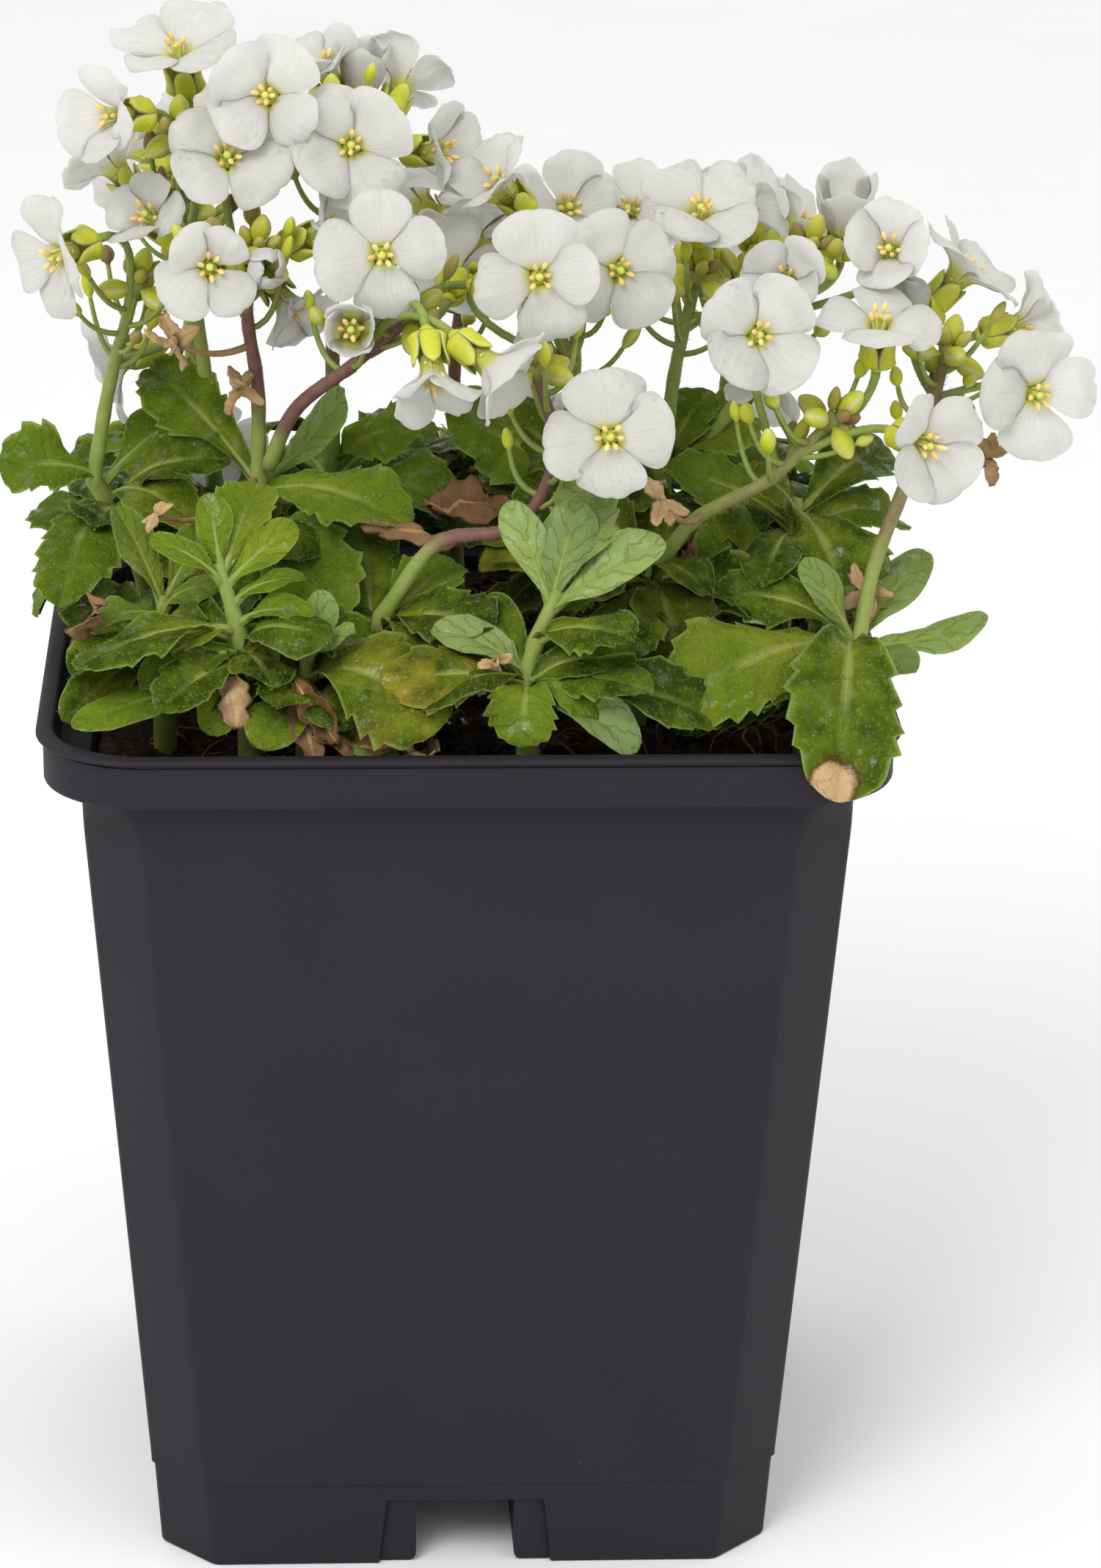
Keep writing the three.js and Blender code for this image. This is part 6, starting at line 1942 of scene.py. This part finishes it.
@dataclass(frozen=True)
class DeadMatter:
    """Dried leaves and withered flowers among the living ones; a few of the larger ones lie on the peat.

    A dried leaf is its middle x, y, z, its length and width, the way its length runs (turn, rise), the tilt
    of its face, and its tone from rust 0 to straw 1. A withered flower is its middle, size and tone.
    """

    leaves: tuple[Row, ...] = (
        (0.5, -12, 115.5, 10, 6, 80, -5, 60, 0.15), (-6, -20, 115.5, 11, 4, 95, -12, 70, 0.3),
        (25, -13, 107, 14, 9, 70, 20, 50, 0.35), (31, -14, 107.5, 9, 7, 20, 40, 60, 0.2),
        (20, -8, 104, 12, 8, 130, 10, 70, 0.25), (-39, -29, 108, 8, 6, 20, 40, 50, 0.3),
        (-24.5, -38.5, 103, 6, 4, 10, -60, 30, 0.8), (-17, -38, 100, 10, 4.5, 20, -50, 30, 0.25),
        (-12, -39.5, 98.5, 9, 5, 85, -10, 60, 0.15), (-16, -39.5, 102, 8, 4, 60, -50, 40, 0.1),
        (-8, -25, 103, 10, 7, 60, 30, 60, 0.3), (21, -27, 101, 8, 5, -30, 20, 60, 0.35),
        (19, -40, 95, 9, 4, 70, 5, 80, 0.7), (-5, -39, 97, 6, 4, 40, 20, 70, 0.5),
        (42, -21, 107, 8, 3, 100, 10, 50, 0.55), (-14, 10, 97.5, 14, 8, 40, 3, 80, 0.25),
        (12, 18, 95.5, 13, 8, 160, 5, 80, 0.3), (30, 30, 95, 12, 7, 120, 5, 80, 0.35),
        (-30, 36, 95, 12, 7, 60, 5, 80, 0.3), (36, 6, 95, 11, 6, 30, 8, 75, 0.4),
    )
    flowers: tuple[Row, ...] = (
        (-30.6, -13.5, 134, 5.5, 0.95), (-23.8, -11.5, 128.5, 4.5, 0.75), (19.9, -29.5, 121.5, 4.5, 0.9),
        (-32.5, -24.5, 118.6, 3.0, 1.0), (42, -21.5, 109, 4.5, 0.8), (-6, -41, 98, 3.5, 0.9),
        (2.5, -37, 106.5, 3.2, 1.0), (9, -8, 131, 4.0, 0.75), (56, -13, 121, 4.0, 0.65),
    )
    seed: int = 77

    def scrap(self, draft: Draft, row: Row, draw: Draw, rows: int = 16, columns: int = 11) -> None:
        """Add one dried blade.

        Its half width is a root of the sine along its length with a ragged edge. It rolls up across its width
        by a drawn curl, c: a point w lies sin(c w)/c to the side and (1 - cos(c w))/c up. It bends along its
        length and is crumpled by waves of two sizes.

        Args:
            draft: Piece that it goes into.
            row: A dried leaf's row.
            draw: Seeded draw.
            rows: Rows along it.
            columns: Points across it.
        """
        x, y, z, length, width, turn, rise, tilt, tone = row
        along = facing(turn, rise)
        face = facing(draw.uniform(-25, 25), tilt)
        face = unit(face - along * np.dot(face, along))
        side = np.cross(face, along)
        share = np.linspace(0, 1, rows)[:, None]
        w = np.linspace(-1, 1, columns)[None, :]
        half = width / 2 * np.sin(np.pi * (0.05 + 0.9 * share)) ** 0.7
        start = draw.uniform(0, 6) + 2 * np.sign(w)
        half = half * (1 + 0.14 * np.sin(share * 9 + start) + 0.13 * np.sin(share * 23 + 1.7 * start))
        curl = draw.uniform(0.5, 1.6) * (1 if draw.uniform() < 0.7 else -1)
        off, lift = half * np.sin(curl * w) / curl, half * (1 - np.cos(curl * w)) / curl
        lift = lift + draw.uniform(-0.5, 0.3) * length * (share - 0.5) ** 2
        level = np.full((rows, columns), draw.uniform(0, 99))
        spot = np.stack([share * length + 0 * w, w * width / 2 + 0 * share, level], -1)
        lift = lift + 0.17 * width * ripple(spot, 4.0, 21) + 0.1 * width * ripple(spot, 1.9, 22)
        grid = np.array([x, y, z]) + along * ((share - 0.5) * length + 0 * w)[..., None]
        grid = grid + side * off[..., None] + face * lift[..., None]
        draft.sheet(grid + face * 0.09, grid - face * 0.09, (tone, 0.0, draw.uniform()))

    def dry_stalk(self, draft: Draft, middle: Array, lines: Array) -> None:
        """Carry a withered flower on a thin dry stalk that leaves the nearest stem below it and bends up.

        Args:
            draft: Piece that it goes into.
            middle: Middle of the flower.
            lines: Points along every stem, n by 3.
        """
        off = np.linalg.norm(lines - middle, axis=1) + 3.0 * np.maximum(lines[:, 2] - middle[2] + 1.0, 0)
        foot = lines[int(np.argmin(off))]
        pull = (foot + middle) / 2 + np.array([0.0, 0.0, -0.25]) * np.linalg.norm(middle - foot)
        path = Curve.bend(foot, pull, middle).at(np.linspace(0, 1, 9))
        draft.tube(path, np.linspace(0.42, 0.26, 9), 6, (0.55, 0.0, 0.0))

    def build(self) -> None:
        """Build both kinds; a withered flower is five small blades round its middle, on its dry stalk."""
        draw = np.random.default_rng(self.seed)
        dried, withered = Draft(), Draft()
        stems = [Curve.through(stem.path) for plant in PLANTS for stem in plant.stems]
        lines = np.vstack([line.at(np.linspace(0, 1, 60)) for line in stems])
        for row in self.leaves:
            self.scrap(dried, row, draw)
        for x, y, z, size, tone in self.flowers:
            self.dry_stalk(withered, np.array([x, y, z]), lines)
            for number in range(5):
                turn, rise = number * 72 + draw.uniform(-20, 20), draw.uniform(-70, 50)
                middle = np.array([x, y, z]) + 0.33 * size * facing(turn, rise)
                shape = (size * 0.8, size * 0.42, turn, rise, draw.uniform(0, 80), tone)
                self.scrap(withered, (*middle, *shape), draw, 10, 7)
        dried.build("dead_leaves", (Skin.DEAD,))
        withered.build("withered_flowers", (Skin.DEAD,))
        LOG.info("dead matter: %d leaves, %d flowers", len(self.leaves), len(self.flowers))


# The pot


@dataclass(frozen=True)
class NurseryPot:
    """Square pot with softly chamfered corners: one skin up the outside, over the lip and down inside.

    Each ring is four sides and four corners. A corner is both a quarter round and a chamfer between two
    small rounds, and a ring lies a share of the way between them.
    """

    height: float = 98.7
    shoulder: float = 92.9
    foot_half: float = 33.8
    shoulder_half: float = 40.7
    rim_corner: float = 10.8
    shoulder_corner: float = 9.7
    chamfer_foot: float = 5.9
    chamfer_top: float = 6.5
    flare: float = 86.4
    flare_top: float = 92.5
    wall: float = 1.2
    edge: float = 1.6
    notch_half: float = 5.1
    notch_height: float = 7.7
    notch_round: float = 1.1
    channel: float = 21.0
    recess_foot: float = 9.4
    recess_top: float = 8.5
    recess_height: float = 8.0
    recess_depth: float = 0.6

    def body(self, z: Array) -> Array:
        """Give the half width of the tapering body at heights."""
        return self.foot_half + (self.shoulder_half - self.foot_half) * z / self.shoulder

    def outside(self) -> Array:
        """Give the outer rings from the foot to the lip.

        Returns:
            Rows of height, half width, corner and share of the quarter round.
        """
        low = np.array([0.0, 0.1, 0.35, 0.7, 1.15, 2.5, 5.0, 7.45, 7.65, 7.85, 8.1, 8.5, 9.4])
        line = np.array([9.95, 10.05, 10.2, 10.32, 10.42, 10.55, 12.0])
        high = np.concatenate([[24.0, 40.0, 56.0, 72.0, 83.0], np.linspace(self.flare, self.flare_top, 9)])
        z = np.concatenate([low, line, high])
        heights = [0.0, 0.1, 0.35, 9.95, 10.2, 10.42, 10.55]
        inset = np.interp(z, heights, [0.5, 0.3, 0.2, 0.27, 0.14, -0.03, 0.0])
        bend = ease(z, self.flare, self.flare_top)
        corner = self.chamfer_foot + (self.chamfer_top - self.chamfer_foot) * z / self.shoulder
        corner = corner + (self.shoulder_corner - corner) * bend
        body = np.column_stack([z, self.body(z) - inset, corner, bend])
        band = np.array([
            (92.8, 40.8), (92.92, 41.1), (92.95, 43.7), (93.0, 44.0), (93.15, 44.2), (93.4, 44.3),
            (95.4, 44.3), (97.2, 44.3), (97.5, 44.3), (97.62, 44.18), (97.74, 44.2), (97.82, 44.5),
            (97.95, 44.8), (98.12, 44.96), (98.3, 45.0), (98.48, 44.93), (98.62, 44.75), (98.7, 44.45),
            (98.7, 43.8),
        ])
        radius = np.interp(band[:, 1], [41.1, 43.7], [self.shoulder_corner, self.rim_corner])
        return np.vstack([body, np.column_stack([band, radius, np.ones(len(band))])])

    def inside(self) -> Array:
        """Give the inner rings from the lip to the floor.

        Returns:
            Rows like the outer ones.
        """
        lip = np.array([
            (98.62, 43.4), (98.4, 43.18), (98.0, 43.1), (96.0, 43.1), (94.3, 43.05), (94.0, 42.85),
            (93.9, 42.5), (93.85, 40.3), (93.6, 39.7),
        ])
        round_lip = np.column_stack([lip, np.interp(lip[:, 1], [39.7, 43.1], [8.9, 10.0]), np.ones(len(lip))])
        low = [80.0, 60.0, 40.0, 20.0, 9.6, 9.3, 9.0, 5.0, self.wall]
        z = np.concatenate([np.linspace(92.6, self.flare, 8), low])
        bend = ease(z, self.flare, self.flare_top)
        corner = self.chamfer_foot - 0.6 + (self.chamfer_top - self.chamfer_foot) * z / self.shoulder
        corner = corner + (self.shoulder_corner - 0.8 - corner) * bend
        return np.vstack([round_lip, np.column_stack([z, self.body(z) - self.wall, corner, bend])])

    def ring(self, row: Array, inner: bool) -> Array:
        """Give one ring.

        A side's columns stand at its ends, beside the recess and beside the notch. The recess sinks them by
        its depth and the notch sinks the middle ones to the end of its channel, which widens at the foot by
        a quarter round.

        Args:
            row: Height, half width, corner and share of the quarter round.
            inner: Whether the ring is on the inside, where the wall stands over the channel.

        Returns:
            Its points, counterclockwise seen from above.
        """
        z, half, corner, bend = row
        over = self.wall if inner else 0.0
        foot = self.notch_round * (1 - math.sqrt(max(0.0, 1 - max(0.0, 1 - z / self.notch_round) ** 2)))
        notch = self.notch_half + over + (0.0 if inner else foot)
        recess = np.interp(z, [0, self.recess_height], [self.recess_foot, self.recess_top])
        soft = self.edge * math.tan(math.pi / 8)
        end = half - corner - soft * (1 - bend)
        x = np.array([
            end, end - 1.6, (end + recess) / 2, recess + 0.6, recess + 0.2, recess - 0.1, recess - 0.6,
            notch + 0.3, notch, 0.0,
        ])
        sunk = np.array([0, 0, 0, 0, -0.12, 1.1, 1, 1, 1, 1]) * (0.0 if inner else self.recess_depth)
        sunk = sunk * (1 - float(ease(np.array(z), self.recess_height - 0.3, self.recess_height + 0.2)))
        if z < self.notch_height + (1.5 if inner else 0.1):
            sunk[-2:] = half - (self.foot_half - self.channel - over)
        x, sunk = np.concatenate([-x, x[-2::-1]]), np.concatenate([sunk, sunk[-2::-1]])
        side = np.column_stack([x, sunk - half])
        turn = np.radians(np.linspace(-90, 0, 13))
        middle = np.array([half - corner, corner - half])
        arc = middle + corner * np.column_stack([np.cos(turn), np.sin(turn)])
        small = np.radians(np.linspace(-90, -45, 6))
        start = np.array([half - corner - soft, self.edge - half])
        first = start + self.edge * np.column_stack([np.cos(small), np.sin(small)])
        second = -first[::-1, ::-1]
        cut = np.vstack([first, (first[-1] + second[0])[None] / 2, second])
        bent = (cut + (arc - cut) * bend)[1:-1]
        quarter = np.vstack([side, bent])
        onward = quarter @ np.array([[0, 1], [-1, 0]])
        turned = [quarter, onward, -quarter, -onward]
        return np.column_stack([np.vstack(turned), np.full(4 * len(quarter), z)])

    def build(self) -> None:
        """Build the skin and close it with the underside and the floor."""
        rings = [self.ring(row, False) for row in self.outside()]
        grid = np.array(rings + [self.ring(row, True) for row in self.inside()])
        rows, columns = grid.shape[:2]
        numbers = np.arange(rows * columns).reshape(rows, columns)
        wrapped = np.hstack([numbers, numbers[:, :1]])
        pot = Draft()
        pot.add(grid.reshape(-1, 3), [quads(wrapped)[:, ::-1], numbers[:1, ::-1], numbers[-1:]], np.zeros(5))
        pot.build("moulded_pot", (Skin.POT,), ("pot",), "pot_plastic", 26.0)
        LOG.info("pot: %d rings of %d points", rows, columns)


@dataclass(frozen=True)
class Studio:
    """Pale floor, soft lamps and the camera at the photograph's angle, its place in millimetres."""

    eye: tuple[float, float, float] = (-15.906, -531.69, 275.23)
    right: tuple[float, float, float] = (0.99893, -0.04483, 0.01101)
    up: tuple[float, float, float] = (0.00516, 0.34528, 0.93848)
    forward: tuple[float, float, float] = (0.04587, 0.93743, -0.34515)
    lens: float = 116.66
    daylight: float = 0.95
    floor_half: float = 4000.0

    def lamp(self, name: str, place: Row, aim: Row, size: float, energy: float) -> None:
        """Hang a soft square lamp.

        Args:
            name: Its name.
            place: Where it hangs, in metres.
            aim: Point that it lights, in metres.
            size: Side of the lamp in metres.
            energy: Its power in watts.
        """
        light = bpy.data.lights.new(name, "AREA")
        light.energy, light.size = energy, size
        holder = bpy.data.objects.new(name, light)
        back = unit(np.array(place, dtype=float) - np.array(aim, dtype=float))
        side = unit(np.cross(UPWARDS + 1e-4, back))
        frame = np.column_stack([side, np.cross(back, side), back, place])
        holder.matrix_world = Matrix([*frame.tolist(), (0, 0, 0, 1)])
        bpy.context.scene.collection.objects.link(holder)

    def build(self) -> None:
        """Make the camera, the daylight, the lamps and the floor."""
        data = bpy.data.cameras.new("camera")
        data.lens, data.clip_start = self.lens, 0.01
        camera = bpy.data.objects.new("camera", data)
        rows = [(r, u, -f, e * MM) for r, u, f, e in zip(self.right, self.up, self.forward, self.eye)]
        camera.matrix_world = Matrix([*rows, (0, 0, 0, 1)])
        scene = bpy.context.scene
        scene.collection.objects.link(camera)
        scene.camera = camera
        world = bpy.data.worlds.new("daylight")
        world.use_nodes = True
        world.node_tree.nodes["Background"].inputs["Strength"].default_value = self.daylight
        world.node_tree.nodes["Background"].inputs["Color"].default_value = (1, 1, 1, 1)
        scene.world = world
        scene.view_settings.view_transform = "Standard"
        self.lamp("key_lamp", (-0.3, -0.6, 0.72), (0, 0, 0.1), 0.4, 4.2)
        self.lamp("fill_lamp", (0.6, -0.5, 0.5), (0, 0, 0.1), 0.6, 0.6)
        floor = Draft()
        corner = np.array([[-1.0, -1], [1, -1], [1, 1], [-1, 1]]) * self.floor_half
        floor.add(np.column_stack([corner, np.zeros(4)]), [np.array([[0, 1, 2, 3]])], np.zeros(5))
        floor.build("floor", (Skin.FLOOR,))


def main() -> None:
    """Build the part over the loaded frame, then light it and look at it."""
    logging.basicConfig(level=logging.INFO, format="%(message)s")
    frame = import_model()
    Studio().build()
    NurseryPot().build()
    SoilBed().build()
    for number, plant in enumerate(PLANTS):
        PlantBuilder(plant).build(100 + number)
    Blooms(PLANTS).build(frame["nodes"])
    DeadMatter().build()


if __name__ == "__main__":
    main()
